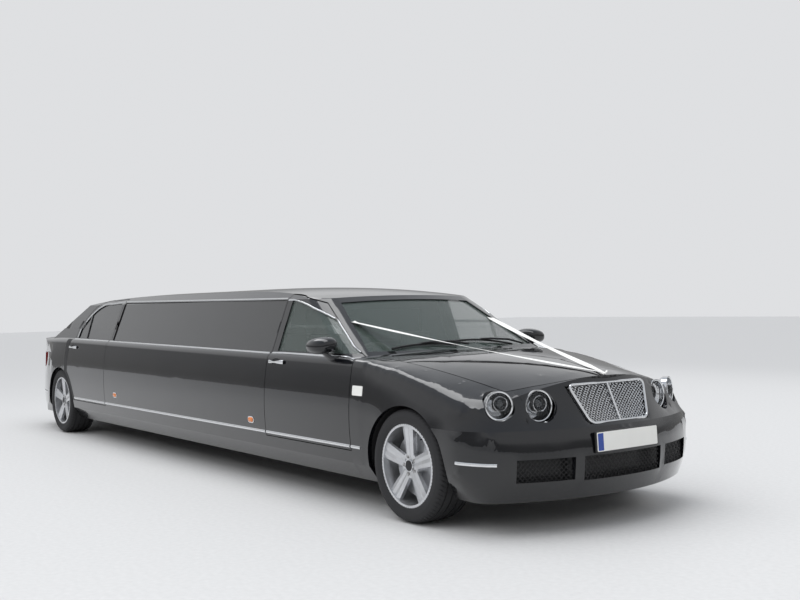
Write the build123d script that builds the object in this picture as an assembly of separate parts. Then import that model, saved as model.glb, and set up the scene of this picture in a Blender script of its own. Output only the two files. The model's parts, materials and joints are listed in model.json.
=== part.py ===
from build123d import *
import os
from math import asin, atan2, cos, degrees, hypot, radians, sin

os.makedirs("parts", exist_ok=True)

# Stretch limousine. Millimetres; X forward from mid length, Y to the left, Z up from the ground.

# Driving sizes
SALOON_WHEELBASE = 3065.0
STRETCH = 3200.0
FRONT_OVERHANG = 925.0
REAR_OVERHANG = 1300.0
WIDTH = 1916.0
HEIGHT = 1479.0
FRONT_TRACK = 1623.0
REAR_TRACK = 1607.0
TYRE_RADIUS = 348.0
TYRE_WIDTH = 275.0
ARCH_RADIUS = 392.0
ARCH_DROP = 30.0
PANEL_GAP = 6.0
SKIN = 28.0
DOOR_WALL = 105.0
ROOF_WALL = 42.0
GLASS = 5.0
RUNNING = 0.3

WHEELBASE = SALOON_WHEELBASE + STRETCH
LENGTH = WHEELBASE + FRONT_OVERHANG + REAR_OVERHANG
NOSE_X = LENGTH / 2
TAIL_X = -LENGTH / 2
FRONT_AXLE_X = NOSE_X - FRONT_OVERHANG
REAR_AXLE_X = TAIL_X + REAR_OVERHANG
HALF = WIDTH / 2
AXLE_Z = TYRE_RADIUS

# Seams between panels
SILL_TOP = 385.0
FLOOR_TOP = 262.0
DOOR_FRONT_X = FRONT_AXLE_X - 588.0
DOOR_REAR_X = FRONT_AXLE_X - 1700.0
REAR_DOOR_FRONT_X = DOOR_REAR_X - STRETCH - 40.0
REAR_DOOR_REAR_X = REAR_AXLE_X + 245.0
FIREWALL_X = DOOR_FRONT_X + PANEL_GAP
BELT_MID_Z = 1006.0
BELT_SLOPE = -0.0098
ROOF_EDGE_MID_Z = 1382.0
ROOF_EDGE_SLOPE = -0.0056
BUMPER_TOP = 600.0


def belt_z(x):
    """Height of the window sill line at x."""
    return BELT_MID_Z + BELT_SLOPE * x


def window_top_z(x):
    """Height of the top of the side glass at x."""
    return ROOF_EDGE_MID_Z + ROOF_EDGE_SLOPE * x


def bulged(start, end, bulge):
    """The middle of an arc from start to end that stands out by bulge times its chord, to the right of its way."""
    dx = end[0] - start[0]
    dy = end[1] - start[1]
    return ((start[0] + end[0]) / 2 + dy * bulge, (start[1] + end[1]) / 2 - dx * bulge)


def crown_middle(half, low, high):
    """The middle of the arc from (half, low) up to (0, high), where it lies level."""
    rise = high - low
    radius = (half ** 2 + rise ** 2) / (2 * rise)
    angle = asin(half / radius) / 2
    return (radius * sin(angle), high - radius + radius * cos(angle))


# Cross sections of the lower body, from the nose to the tail
# x, crown z, shoulder y, shoulder z, side y, side z
LOWER_SECTIONS = [
    (4320.0, 832.0, 838.0, 590.0, 900.0, 540.0),
    (3960.0, 903.0, 850.0, 708.0, 910.0, 655.0),
    (3280.0, 988.0, 866.0, 900.0, 922.0, 845.0),
    (2600.0, 1006.0, 880.0, 978.0, 927.0, 925.0),
    (-2600.0, 1048.0, 880.0, 1028.0, 927.0, 970.0),
    (-3300.0, 1064.0, 845.0, 1030.0, 908.0, 970.0),
    (-3900.0, 1054.0, 800.0, 1008.0, 874.0, 948.0),
    (-4320.0, 1020.0, 770.0, 968.0, 846.0, 915.0),
]
SILL_Y = HALF - 28.0
SILL_Z = 300.0
BOTTOM_Y = HALF - 100.0
BOTTOM_Z = 190.0


def lower_section(row, inset):
    """The left half of a cross section of the lower body, drawn inset from its skin."""
    x, crown, shoulder_y, shoulder_z, side_y, side_z = row
    shoulder = (shoulder_y - inset, shoulder_z - inset * 0.8)
    side = (side_y - inset, side_z - inset * 0.3)
    waist = (HALF - inset, (SILL_Z + side_z) / 2)
    sill = (SILL_Y - inset, SILL_Z)
    bottom = (BOTTOM_Y - inset, BOTTOM_Z)
    corner = bulged(side, shoulder, 0.16)
    top = (0.0, crown - inset)

    def point(pair):
        return Vector(x, pair[0], pair[1])

    edges = [
        Edge.make_line(point((0.0, BOTTOM_Z)), point(bottom)),
        Edge.make_line(point(bottom), point(sill)),
        Edge.make_three_point_arc(point(sill), point(waist), point(side)),
        Edge.make_three_point_arc(point(side), point(corner), point(shoulder)),
        Edge.make_three_point_arc(point(shoulder), point(crown_middle(shoulder[0], shoulder[1], top[1])), point(top)),
        Edge.make_line(point(top), point((0.0, BOTTOM_Z))),
    ]
    return Wire(edges)


# Plan outlines of the lower body at rising heights; amidships the cross sections set its width
PLAN_SLACK = 15.0
# z, nose set back, tail set back
LOWER_PLANS = [
    (150.0, 95.0, 110.0),
    (300.0, 12.0, 20.0),
    (450.0, 0.0, 0.0),
    (BUMPER_TOP - 20.0, 8.0, 6.0),
    (BUMPER_TOP + 30.0, 62.0, 30.0),
    (1150.0, 290.0, 90.0),
]


def lower_plan(row, inset):
    """The left half of a plan outline of the lower body, drawn inset from its skin."""
    z, nose_back, tail_back = row
    nose = NOSE_X - nose_back - inset
    tail = TAIL_X + tail_back + inset
    nose_corner = (nose - 239.0, 850.0 - inset * 0.8)
    nose_via = (nose - 360.0, 922.0 - inset * 0.9)
    nose_side = (nose - 600.0, HALF + PLAN_SLACK - inset)
    tail_corner = (tail + 80.0, 540.0 - inset * 0.4)
    tail_via = (tail + 160.0, 710.0 - inset * 0.7)
    tail_end = (tail + 325.0, 805.0 - inset * 0.9)
    taper_via = (tail + 695.0, 905.0 - inset)
    taper_end = (tail + 1250.0, HALF + PLAN_SLACK - inset)

    def point(pair):
        return Vector(pair[0], pair[1], z)

    nose_middle = crown_middle(nose_corner[1], nose_corner[0], nose)
    tail_middle = crown_middle(tail_corner[1], -tail_corner[0], -tail)
    edges = [
        Edge.make_three_point_arc(Vector(nose, 0, z), Vector(nose_middle[1], nose_middle[0], z), point(nose_corner)),
        Edge.make_three_point_arc(point(nose_corner), point(nose_via), point(nose_side)),
        Edge.make_line(point(nose_side), point(taper_end)),
        Edge.make_three_point_arc(point(taper_end), point(taper_via), point(tail_end)),
        Edge.make_three_point_arc(point(tail_end), point(tail_via), point(tail_corner)),
        Edge.make_three_point_arc(point(tail_corner), Vector(-tail_middle[1], tail_middle[0], z), Vector(tail, 0, z)),
        Edge.make_line(Vector(tail, 0, z), Vector(nose, 0, z)),
    ]
    return Wire(edges)


def lower_body(inset):
    """The body below its windows: cross sections lofted end to end, trimmed to the plan."""
    wires = [lower_section(row, inset) for row in LOWER_SECTIONS]
    front = Solid.make_loft(wires[:4])
    middle = Solid.make_loft(wires[3:5], True)
    rear = Solid.make_loft(wires[4:])
    along = front.fuse(middle).fuse(rear)
    plan = Solid.make_loft([lower_plan(row, inset) for row in LOWER_PLANS], True)
    return as_one(along & plan)


def as_one(shape):
    """The single solid in a boolean's result."""
    solids = shape.solids()
    if len(solids) == 1:
        return solids[0]
    return Compound(children=list(solids))


# Plan outlines of the glasshouse at rising heights
# z, half width, windscreen x, its corner x, its corner y, side front x, rear glass x, its corner x, side rear x
GLASSHOUSE_PLANS = [
    (860.0, 931.0, 3055.0, 2920.0, 800.0, 2755.0, -4005.0, -3854.0, -3717.0),
    (1376.0, 737.0, 2130.0, 2055.0, 580.0, 1900.0, -2790.0, -2720.0, -2560.0),
    (1490.0, 590.0, 1935.0, 1870.0, 440.0, 1720.0, -2530.0, -2460.0, -2330.0),
]
# Roof cross sections along the car
# x, crown z, z at the reference half width
ROOF_SECTIONS = [
    (2950.0, 1130.0, 1080.0),
    (2150.0, 1385.0, 1343.0),
    (1500.0, 1459.0, 1414.0),
    (300.0, HEIGHT, 1434.0),
    (-1400.0, 1474.0, 1430.0),
    (-2400.0, 1432.0, 1385.0),
    (-3000.0, 1366.0, 1318.0),
    (-3900.0, 1210.0, 1160.0),
]
ROOF_HALF = 800.0


def glasshouse_plan(row, inset):
    """The left half of a plan outline of the glasshouse, drawn inset from its skin."""
    z, half, front, corner_x, corner_y, side_front, rear, rear_corner, side_rear = row
    half = half - inset
    nose = front - inset * 1.6
    corner = (corner_x - inset * 1.5, corner_y - inset * 0.6)
    side = (side_front - inset * 0.4, half)
    tail = rear + inset * 1.9
    tail_corner = (rear_corner + inset * 1.8, corner_y - 20.0 - inset * 0.6)
    tail_side = (side_rear + inset * 0.4, half)
    front_via = bulged(corner, side, 0.13)
    rear_via = bulged(tail_side, tail_corner, 0.13)

    def point(pair):
        return Vector(pair[0], pair[1], z)

    nose_middle = crown_middle(corner[1], corner[0], nose)
    tail_middle = crown_middle(tail_corner[1], -tail_corner[0], -tail)
    edges = [
        Edge.make_three_point_arc(Vector(nose, 0, z), Vector(nose_middle[1], nose_middle[0], z), point(corner)),
        Edge.make_three_point_arc(point(corner), point(front_via), point(side)),
        Edge.make_line(point(side), point(tail_side)),
        Edge.make_three_point_arc(point(tail_side), point(rear_via), point(tail_corner)),
        Edge.make_three_point_arc(point(tail_corner), Vector(-tail_middle[1], tail_middle[0], z), Vector(tail, 0, z)),
        Edge.make_line(Vector(tail, 0, z), Vector(nose, 0, z)),
    ]
    return Wire(edges)


def roof_section(row, inset):
    """The left half of a cross section under the roof skin."""
    x, crown, edge = row
    low = 900.0
    middle = crown_middle(ROOF_HALF, edge - inset, crown - inset)
    edges = [
        Edge.make_line(Vector(x, 0, low), Vector(x, ROOF_HALF, low)),
        Edge.make_line(Vector(x, ROOF_HALF, low), Vector(x, ROOF_HALF, edge - inset)),
        Edge.make_three_point_arc(
            Vector(x, ROOF_HALF, edge - inset),
            Vector(x, middle[0], middle[1]),
            Vector(x, 0, crown - inset),
        ),
        Edge.make_line(Vector(x, 0, crown - inset), Vector(x, 0, low)),
    ]
    return Wire(edges)


def glasshouse(inset):
    """The cabin above the belt: plan outlines lofted upwards, trimmed to the roof skin."""
    plan = Solid.make_loft([glasshouse_plan(row, inset) for row in GLASSHOUSE_PLANS], True)
    roof = Solid.make_loft([roof_section(row, inset) for row in ROOF_SECTIONS])
    wide = Solid.make_box(8000, 1200, 280, Plane((-4200, 0, 850)))
    return as_one(plan & (roof + wide))


def outline(place, start, *steps):
    """A closed wire: each step is a point, or a pair of points that an arc goes through and ends at."""
    edges = []
    here = start
    for step in steps + (start,):
        if isinstance(step[0], tuple):
            edges.append(Edge.make_three_point_arc(place(here), place(step[0]), place(step[1])))
            here = step[1]
        elif step != here:
            edges.append(Edge.make_line(place(here), place(step)))
            here = step
    return Wire(edges)


def side_view(point):
    return Vector(point[0], 0, point[1])


def plan_view(point):
    return Vector(point[0], point[1], 0)


def front_view(point):
    return Vector(0, point[0], point[1])


def across(wire, low, high):
    """A side view outline carried across the car from y low to y high."""
    return Solid.extrude(Face(wire.moved(Location((0, low, 0)))), Vector(0, high - low, 0))


def upright(wire, low, high):
    """A plan outline carried up from z low to z high."""
    return Solid.extrude(Face(wire.moved(Location((0, 0, low)))), Vector(0, 0, high - low))


def lengthwise(wire, low, high):
    """A front view outline carried along from x low to x high."""
    return Solid.extrude(Face(wire.moved(Location((low, 0, 0)))), Vector(high - low, 0, 0))


def block(x0, x1, y0, y1, z0, z1):
    return Solid.make_box(x1 - x0, y1 - y0, z1 - z0, Plane((x0, y0, z0)))


def rod(start, end, radius):
    """A round bar between two points."""
    a = Vector(*start)
    b = Vector(*end)
    return Solid.make_cylinder(radius, (b - a).length, Plane(a, z_dir=b - a))


def mirrored(shape):
    return shape.mirror(Plane.XZ)


def save(name, *shapes):
    solids = [solid for shape in shapes for solid in shape.solids()]
    whole = solids[0] if len(solids) == 1 else Compound(children=solids)
    whole.label = name
    export_step(whole, f"parts/{name}.step")


# Window and door outlines in side view
front_glass_line = outline(
    side_view,
    (DOOR_REAR_X + 72.0, 1001.0),
    (2672.0, 1001.0),
    ((2205.0, 1246.0), (DOOR_REAR_X + 70.0, 1373.0)),
)
rear_glass_line = outline(
    side_view,
    (REAR_DOOR_FRONT_X - 50.0, 1024.0),
    (REAR_DOOR_FRONT_X - 50.0, 1385.0),
    (-1950.0, 1374.0),
    ((-2370.0, 1280.0), (-2572.0, 1120.0)),
    (-2580.0, 1034.0),
)
stretch_glass_line = outline(
    side_view,
    (DOOR_REAR_X - 22.0, belt_z(DOOR_REAR_X)),
    (DOOR_REAR_X - 22.0, window_top_z(DOOR_REAR_X)),
    (REAR_DOOR_FRONT_X + 34.0, window_top_z(REAR_DOOR_FRONT_X)),
    (REAR_DOOR_FRONT_X + 34.0, belt_z(REAR_DOOR_FRONT_X)),
)
front_door_line = outline(
    side_view,
    (DOOR_FRONT_X, SILL_TOP),
    (DOOR_FRONT_X, 1012.0),
    ((2228.0, 1288.0), (DOOR_REAR_X, 1413.0)),
    (DOOR_REAR_X, SILL_TOP),
)
rear_door_line = outline(
    side_view,
    (REAR_DOOR_FRONT_X, SILL_TOP),
    (REAR_DOOR_FRONT_X, 1424.0),
    (-1950.0, 1412.0),
    ((-2410.0, 1312.0), (-2635.0, 1110.0)),
    (-2648.0, 1030.0),
    (REAR_DOOR_REAR_X, 830.0),
    (REAR_DOOR_REAR_X, 680.0),
    ((-2570.0, 545.0), (-2512.0, SILL_TOP)),
)
ARCH_Z = AXLE_Z - ARCH_DROP
FLANGE = 30.0
DOOR_SKIN = 20.0
FRAME_SKIN = 8.0
FRAME_GAP = 9.0
HINGE_IN = 30.0
HINGE_Y = HALF - 8.0


def grown(wire, amount):
    """The outline set out by amount, or in where amount is negative."""
    return wire.offset_2d(amount, kind=Kind.INTERSECTION)


# Seams seen from above
BONNET_REAR_X = DOOR_FRONT_X + 173.0
BONNET_FRONT_X = NOSE_X - 170.0
BOOT_FRONT_X = TAIL_X + 605.0


def bonnet_line(margin):
    """The left half of the bonnet's edge, set out by the margin."""
    rear = BONNET_REAR_X - margin
    front = BONNET_FRONT_X + margin
    return outline(
        plan_view,
        (rear, 0.0),
        ((rear - 27.0, 385.0), (rear - 110.0, 770.0 + margin)),
        (front - 185.0, 645.0 + margin),
        ((front - 45.0, 325.0), (front, 0.0)),
    )


def boot_line(margin):
    """The left half of the boot lid's edge, set out by the margin."""
    return outline(
        plan_view,
        (BOOT_FRONT_X + margin, 0.0),
        (BOOT_FRONT_X + margin, 650.0 + margin),
        (TAIL_X - 60.0, 600.0 + margin),
        (TAIL_X - 60.0, 0.0),
    )


BONNET_LOW_Z = 655.0
BOOT_LOW_Z = BUMPER_TOP + 40.0
REAR_BULKHEAD_X = REAR_AXLE_X + 185.0
SHELF_TOP = 945.0
SHELF = 30.0
CABIN_FLOOR_HALF = HALF - DOOR_WALL - 5.0

# The body as one thick shell, before it is split into panels
outer = as_one(lower_body(0) + glasshouse(0))
under_skin = lower_body(SKIN)
low_cabin = lower_body(DOOR_WALL) & block(REAR_BULKHEAD_X, FIREWALL_X - 40, -10, 1000, FLOOR_TOP, 1100)
head_room = block(BOOT_FRONT_X + 190, FIREWALL_X + 62, -10, 1000, SHELF_TOP, 1500)
shoulder_room = block(REAR_BULKHEAD_X, FIREWALL_X - 40, -10, 1000, SHELF_TOP - 60, SHELF_TOP)
high_cabin = glasshouse(ROOF_WALL) & (head_room + shoulder_room)
cabin_room = as_one(low_cabin + high_cabin)
engine_room = under_skin & block(FIREWALL_X, 5000, -10, 1200, 0, 1500)
boot_room = under_skin & block(-5000, REAR_BULKHEAD_X - 30, -10, 1200, 0, 1500)
shell = outer - cabin_room - engine_room - boot_room

# Wheel arches
FRONT_ARCH_X = FRONT_AXLE_X - 12.0


def arch_cut(x, inner_y):
    return rod((x, inner_y, ARCH_Z), (x, 1100, ARCH_Z), ARCH_RADIUS)


arches_left = [arch_cut(FRONT_ARCH_X, 478.0), arch_cut(REAR_AXLE_X, 640.0)]
for cut in arches_left:
    shell = shell - cut

BIG = 5000.0


def region(x0=-BIG, x1=BIG, y0=-BIG, y1=BIG, z0=-BIG, z1=BIG):
    """An endless block between the given limits."""
    return block(x0, x1, y0, y1, z0, z1)


# Doors: a skin that laps over the opening, and a thicker inner frame set in from its edge
lap = as_one(lower_body(DOOR_SKIN) + glasshouse(FRAME_SKIN))
lap_clear = as_one(lower_body(DOOR_SKIN + PANEL_GAP) + glasshouse(FRAME_SKIN + FRAME_GAP))
door_stock = outer - cabin_room


side_zone = lengthwise(
    outline(front_view, (790.0, 300.0), (790.0, 1045.0), (640.0, 1440.0), (1100.0, 1440.0), (1100.0, 300.0)),
    -3200,
    3200,
)


def door(line, glass_line):
    """A left door with its window cut."""
    wide = across(line, 300, 1100) & side_zone
    narrow = across(grown(line, -FLANGE), 300, 1100) & side_zone
    leaf = (door_stock & wide) - lap
    frame = door_stock & narrow & lap & region(x1=FIREWALL_X - 41)
    return as_one((leaf + frame) - across(glass_line, 300, 1100))


def door_opening(line):
    """What the body loses for a left door."""
    wide = across(grown(line, PANEL_GAP), 300, 1100) & side_zone.moved(Location((0, -PANEL_GAP, 0)))
    narrow = across(grown(line, PANEL_GAP - FLANGE), 300, 1100) & side_zone.moved(Location((0, -PANEL_GAP, 0)))
    return (wide - lap_clear), narrow


for line in (front_door_line, rear_door_line):
    for cut in door_opening(line):
        shell = shell - cut

# Room in the front pillar for the door's front edge as it swings about its hinge line
front_hinge = (DOOR_FRONT_X - HINGE_IN, HINGE_Y)
# foot z, head z, how far in from the hinge line the door's front edge reaches
HINGE_ROOM = [(SILL_TOP - PANEL_GAP, 850.0, 34.0), (850.0, 967.0, 62.0), (967.0, 1060.0, 20.0)]
for foot, head, reach in HINGE_ROOM:
    room = rod((*front_hinge, foot), (*front_hinge, head), hypot(HINGE_IN, reach) + PANEL_GAP)
    shell = shell - (room & region(x1=FIREWALL_X))

# Rubber stops: pegs on the latch side of each opening, that the shut door rests on
STOP_RADIUS = 7.0
STOP_IN = 900.0
STOP_OUT = 940.0
# x, heights
FRONT_STOPS = (DOOR_REAR_X + 12.0, (540.0, 690.0))
REAR_STOPS = (REAR_DOOR_REAR_X + 12.0, (715.0, 795.0))


def door_stops(row, slack):
    """The pegs behind a left door's latch edge, or the pockets for them in the door."""
    x, heights = row
    return [rod((x, STOP_IN, z), (x, STOP_OUT + slack, z), STOP_RADIUS + slack) for z in heights]



# Glass
pane_outer = glasshouse(10.0)
pane_inner = glasshouse(10.0 + GLASS)
pane_stock = pane_outer - pane_inner


def side_glass(line):
    return pane_stock & across(grown(line, -RUNNING), 300, 1100) & side_zone


quarter_bar_x = REAR_AXLE_X + 600.0
quarter_bar = outline(
    side_view,
    (quarter_bar_x + 28.0, 1000.0),
    (quarter_bar_x - 62.0, 1400.0),
    (quarter_bar_x - 92.0, 1400.0),
    (quarter_bar_x - 2.0, 1000.0),
)
windscreen_line = outline(
    front_view,
    (-745.0, 1012.0),
    (-590.0, 1344.0),
    ((0.0, 1362.0), (590.0, 1344.0)),
    (745.0, 1012.0),
    ((0.0, 1008.0), (-745.0, 1012.0)),
)
rear_window_line = outline(
    front_view,
    (-740.0, 1085.0),
    (-600.0, 1330.0),
    ((0.0, 1348.0), (600.0, 1330.0)),
    (740.0, 1085.0),
    ((0.0, 1080.0), (-740.0, 1085.0)),
)
stretch_cut = across(stretch_glass_line, 300, 1100)
shell = shell - stretch_cut
shell = shell - lengthwise(windscreen_line, 1500, 3200) - lengthwise(rear_window_line, -4300, -2000)


# Lids: the bonnet and the boot lid, cut from the skin with a gap all round
front_skin = shell & region(x0=FIREWALL_X - 200, z0=BUMPER_TOP)
rear_skin = shell & region(x1=REAR_BULKHEAD_X - 30, z0=BUMPER_TOP)
bonnet_hole = upright(bonnet_line(PANEL_GAP), BONNET_LOW_Z, BIG)
boot_hole = upright(boot_line(PANEL_GAP), BOOT_LOW_Z - PANEL_GAP, BIG)
bonnet = as_one(front_skin & upright(bonnet_line(0.0), BONNET_LOW_Z, BIG))
boot_lid = as_one(rear_skin & upright(boot_line(0.0), BOOT_LOW_Z, BIG))
shell = shell - bonnet_hole - boot_hole

# Headlamps: two round lamps a side, aimed outward with the curve of the nose
# x, y, z, radius, degrees outward
HEADLAMPS = [
    (NOSE_X - 215.0, 515.0, 727.0, 91.0, 10.0),
    (NOSE_X - 300.0, 744.0, 738.0, 82.0, 24.0),
]
LAMP_DEPTH = 95.0
LAMP_WALL = 4.0


def lamp_plane(row):
    x, y, z, radius, outward = row
    aim = Vector(cos(radians(outward)), sin(radians(outward)), 0.06)
    return Plane((x, y, z), z_dir=aim)


def lamp_bore(row):
    return Solid.make_cylinder(row[3] + 2.0, 260, lamp_plane(row).offset(-130))


def lamp_bowl(row):
    """A reflector bowl with an open mouth, and a projector ring inside."""
    radius = row[3] + 1.7
    outside = [(0, -LAMP_DEPTH), (radius * 0.55, -LAMP_DEPTH), (radius, -30), (radius, 6), (radius - LAMP_WALL, 6)]
    inside = [(radius - LAMP_WALL, -28), (radius * 0.5, -LAMP_DEPTH + LAMP_WALL), (0, -LAMP_DEPTH + LAMP_WALL)]
    wire = Wire.make_polygon([Vector(a, 0, b) for a, b in outside + inside], close=True)
    bowl = Solid.revolve(Face(wire), 360, Axis.Z)
    ring = Solid.make_cylinder(radius * 0.44, LAMP_DEPTH - 40, Plane((0, 0, -LAMP_DEPTH + 1)))
    ring = ring - Solid.make_cylinder(radius * 0.36, LAMP_DEPTH, Plane((0, 0, -LAMP_DEPTH + 20)))
    return lamp_plane(row).location * (bowl + ring)


def lamp_lens(row):
    """A clear domed cover in the bowl's mouth."""
    radius = row[3] - 2.6
    dome = 16.0
    ball = (radius ** 2 + dome ** 2) / (2 * dome)
    cap = Solid.make_sphere(ball, Plane((0, 0, dome - ball))) & Solid.make_cylinder(radius, 60)
    hollow = Solid.make_sphere(ball - 4, Plane((0, 0, dome - ball)))
    return lamp_plane(row).location * as_one((cap + Solid.make_cylinder(radius, 1)) - hollow)


for row in HEADLAMPS:
    bore = lamp_bore(row)
    shell = shell - bore
    bonnet = bonnet - bore

# Grille: a leaning frame with a centre bar and a lattice of crossing bars
GRILLE_FOOT_Z = 616.0
GRILLE_HEAD_Z = 836.0
GRILLE_FOOT_HALF = 248.0
GRILLE_HEAD_HALF = 332.0
GRILLE_FOOT_X = NOSE_X - 62.0
GRILLE_HEAD_X = NOSE_X - 166.0
GRILLE_FRAME = 18.0
MESH_PITCH = 46.0
MESH_BAR = 7.0
grille_lean = degrees(atan2(GRILLE_FOOT_X - GRILLE_HEAD_X, GRILLE_HEAD_Z - GRILLE_FOOT_Z))
grille_height = hypot(GRILLE_FOOT_X - GRILLE_HEAD_X, GRILLE_HEAD_Z - GRILLE_FOOT_Z)


def grille_face(margin):
    """The trapezium of the grille, in its own plane: across and up from the foot's middle."""
    points = [
        (-GRILLE_FOOT_HALF + margin, margin),
        (GRILLE_FOOT_HALF - margin, margin),
        (GRILLE_HEAD_HALF - margin, grille_height - margin),
        (-GRILLE_HEAD_HALF + margin, grille_height - margin),
    ]
    return Face(Wire.make_polygon([Vector(0, a, b) for a, b in points], close=True))


grille_place = Location((GRILLE_FOOT_X, 0, GRILLE_FOOT_Z), (0, -grille_lean, 0))


def grille():
    frame = Solid.extrude(grille_face(-2.0), Vector(-26, 0, 0)) - Solid.extrude(grille_face(GRILLE_FRAME), Vector(-40, 0, 0))
    frame = frame + block(-26, 6, -7, 7, GRILLE_FRAME - 2, grille_height - GRILLE_FRAME + 2)
    inner = Solid.extrude(grille_face(GRILLE_FRAME - 3), Vector(-60, 0, 0)).moved(Location((20, 0, 0)))
    bars = []
    reach = 900.0
    count = int(reach / MESH_PITCH)
    for side, depth in ((1, -9.0), (-1, -15.0)):
        for n in range(-count, count + 1):
            bar = block(depth - 3.5, depth + 3.5, -MESH_BAR / 2, MESH_BAR / 2, -reach / 2, reach / 2)
            middle = Location((0, n * MESH_PITCH, grille_height / 2)) * Location((0, 0, 0), (45 * side, 0, 0))
            bars.append(bar.moved(middle))
    rows = [bars[: 2 * count + 1], bars[2 * count + 1:]]
    lattice = None
    for one in rows:
        kept = [q for bar in one for q in (bar & inner or Compound()).solids()]
        lattice = kept if lattice is None else lattice + kept
    whole = frame
    whole = whole.fuse(*lattice)
    return grille_place * as_one(whole)


grille_hole = grille_place * Solid.extrude(grille_face(-3.0), Vector(300, 0, 0)).moved(Location((-150, 0, 0)))
shell = shell - grille_hole
bonnet_clear = grille_place * Solid.extrude(grille_face(-9.0), Vector(300, 0, 0)).moved(Location((-150, 0, 0)))
bonnet = as_one(bonnet - bonnet_clear)

# Lower intakes in the front bumper, in three parts
# y centre, half width, z foot, z head
INTAKES = [(0.0, 330.0, 300.0, 440.0), (560.0, 170.0, 310.0, 440.0)]
for y, half, foot, head in INTAKES:
    shell = shell - block(NOSE_X - 420, NOSE_X + 50, y - half, y + half, foot, head)

# The body's panels
below_belt = outline(
    side_view,
    (BIG, 0.0),
    (BIG, belt_z(BIG) - 12.0),
    (-BIG, belt_z(-BIG) - 12.0),
    (-BIG, 0.0),
)
below = across(below_belt, -1200, 1200)
front_part = shell & region(x0=FIREWALL_X)
mid_part = shell & region(x0=REAR_BULKHEAD_X - 30, x1=FIREWALL_X)
rear_part = shell & region(x1=REAR_BULKHEAD_X - 30)
cowl = front_part & region(x1=BONNET_REAR_X + 30, y0=-700, y1=700, z0=880)
front_low = front_part - region(x1=BONNET_REAR_X + 30, y0=-700, y1=700, z0=880)
front_bumper = front_low & region(x0=FRONT_AXLE_X + 200, z1=BUMPER_TOP)
front_high = front_low - region(x0=FRONT_AXLE_X + 200, z1=BUMPER_TOP)
fascia = front_high & region(x0=FRONT_AXLE_X + 400, y0=-625, y1=625)
wings = front_high - region(x0=FRONT_AXLE_X + 400, y0=-625, y1=625)
cabin_frame = (mid_part - below) + (rear_part & region(x0=BOOT_FRONT_X - 10, z0=980))
rear_low = rear_part - region(x0=BOOT_FRONT_X - 10, z0=980)
rear_bumper = rear_low & region(x1=REAR_AXLE_X - 250, z1=BUMPER_TOP)
rear_high = rear_low - region(x1=REAR_AXLE_X - 250, z1=BUMPER_TOP)
mid_low = mid_part & below
floor_and_sills = mid_low & region(z1=SILL_TOP - PANEL_GAP)
mid_sides = mid_low & region(z0=SILL_TOP - PANEL_GAP)
firewall = mid_sides & region(x0=FIREWALL_X - 60)
stretch_sides = mid_sides & region(x0=REAR_DOOR_FRONT_X + 1, x1=DOOR_REAR_X + 100)
rear_posts = mid_sides & region(x1=REAR_DOOR_FRONT_X - 500)
stretch_sides = as_one(stretch_sides.fuse(*door_stops(FRONT_STOPS, 0.0)))
rear_posts = as_one(rear_posts.fuse(*door_stops(REAR_STOPS, 0.0)))
sill_line_y = CABIN_FLOOR_HALF
sills = floor_and_sills & region(y0=sill_line_y)
floor_pan = floor_and_sills & region(y1=sill_line_y)


def whole(shape):
    """A left half joined to its mirror image on the centre line."""
    return as_one(shape.fuse(mirrored(shape)).clean())


# Tunnel under the floor for the propeller shaft and the exhaust
TUNNEL_HALF = 150.0
TUNNEL_TOP = 372.0
TUNNEL_WALL = 20.0
tunnel_bore = block(-BIG, FIREWALL_X + 1, -1, TUNNEL_HALF, 0, TUNNEL_TOP)
tunnel_cover = block(REAR_BULKHEAD_X, FIREWALL_X - 40, 0, TUNNEL_HALF + TUNNEL_WALL, FLOOR_TOP, TUNNEL_TOP + TUNNEL_WALL)
firewall_low = floor_pan & region(x0=FIREWALL_X - 40)
floor_pan = (floor_pan + tunnel_cover) - tunnel_bore - region(x0=FIREWALL_X - 40)
firewall = (firewall + firewall_low) - tunnel_bore

# Inner wheel arches
LINER = 8.0
LINER_RADIUS = ARCH_RADIUS + 3.0


def wheelhouse(x, inner_y):
    """A half round liner over a wheel, closed on its inner side."""
    hood = rod((x, inner_y - LINER, ARCH_Z), (x, 1100, ARCH_Z), LINER_RADIUS + LINER)
    hood = hood - rod((x, inner_y, ARCH_Z), (x, 1100, ARCH_Z), LINER_RADIUS)
    hood = hood & region(z0=ARCH_Z + 20.0)
    return (hood & under_skin) - shell


RAIL_IN = 400.0
RAIL_OUT = 455.0
rail = block(FIREWALL_X, NOSE_X - 300, RAIL_IN, RAIL_OUT, 420, 500)
crash_beam = block(NOSE_X - 300, NOSE_X - 240, 0, 640, 430, 500) & lower_body(SKIN + 20)
front_house = wheelhouse(FRONT_ARCH_X, 478.0)
rail_tie = block(FRONT_ARCH_X - 60, FRONT_ARCH_X + 60, RAIL_OUT, 470, 430, 490)
slam_panel = block(NOSE_X - 330, NOSE_X - 300, 0, RAIL_OUT, 420, 700)
bonnet_buffer = rod((NOSE_X - 315, 300, 690), (NOSE_X - 315, 300, 1000), 12) & under_skin.moved(Location((0, 0, -RUNNING)))
front_structure = as_one(rail + crash_beam + front_house + rail_tie + slam_panel + bonnet_buffer)
rear_house = wheelhouse(REAR_AXLE_X, 640.0) & region(x1=REAR_BULKHEAD_X - 30)
boot_floor = (under_skin & block(TAIL_X, REAR_BULKHEAD_X - 30, -1, 1000, 330, 350)) - arches_left[1] - shell
well = block(TAIL_X + 350, REAR_AXLE_X - 420, -1, 330, 225, 330)
well = well - block(TAIL_X + 362, REAR_AXLE_X - 432, -1, 318, 237, 351)
boot_floor = (boot_floor - block(TAIL_X + 362, REAR_AXLE_X - 432, -1, 318, 200, 360)) + well
rear_structure = as_one(boot_floor + rear_house)
shelf = (under_skin & block(BOOT_FRONT_X + 60, REAR_BULKHEAD_X - 30, -1, 1000, SHELF_TOP - SHELF, SHELF_TOP)) - shell
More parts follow.
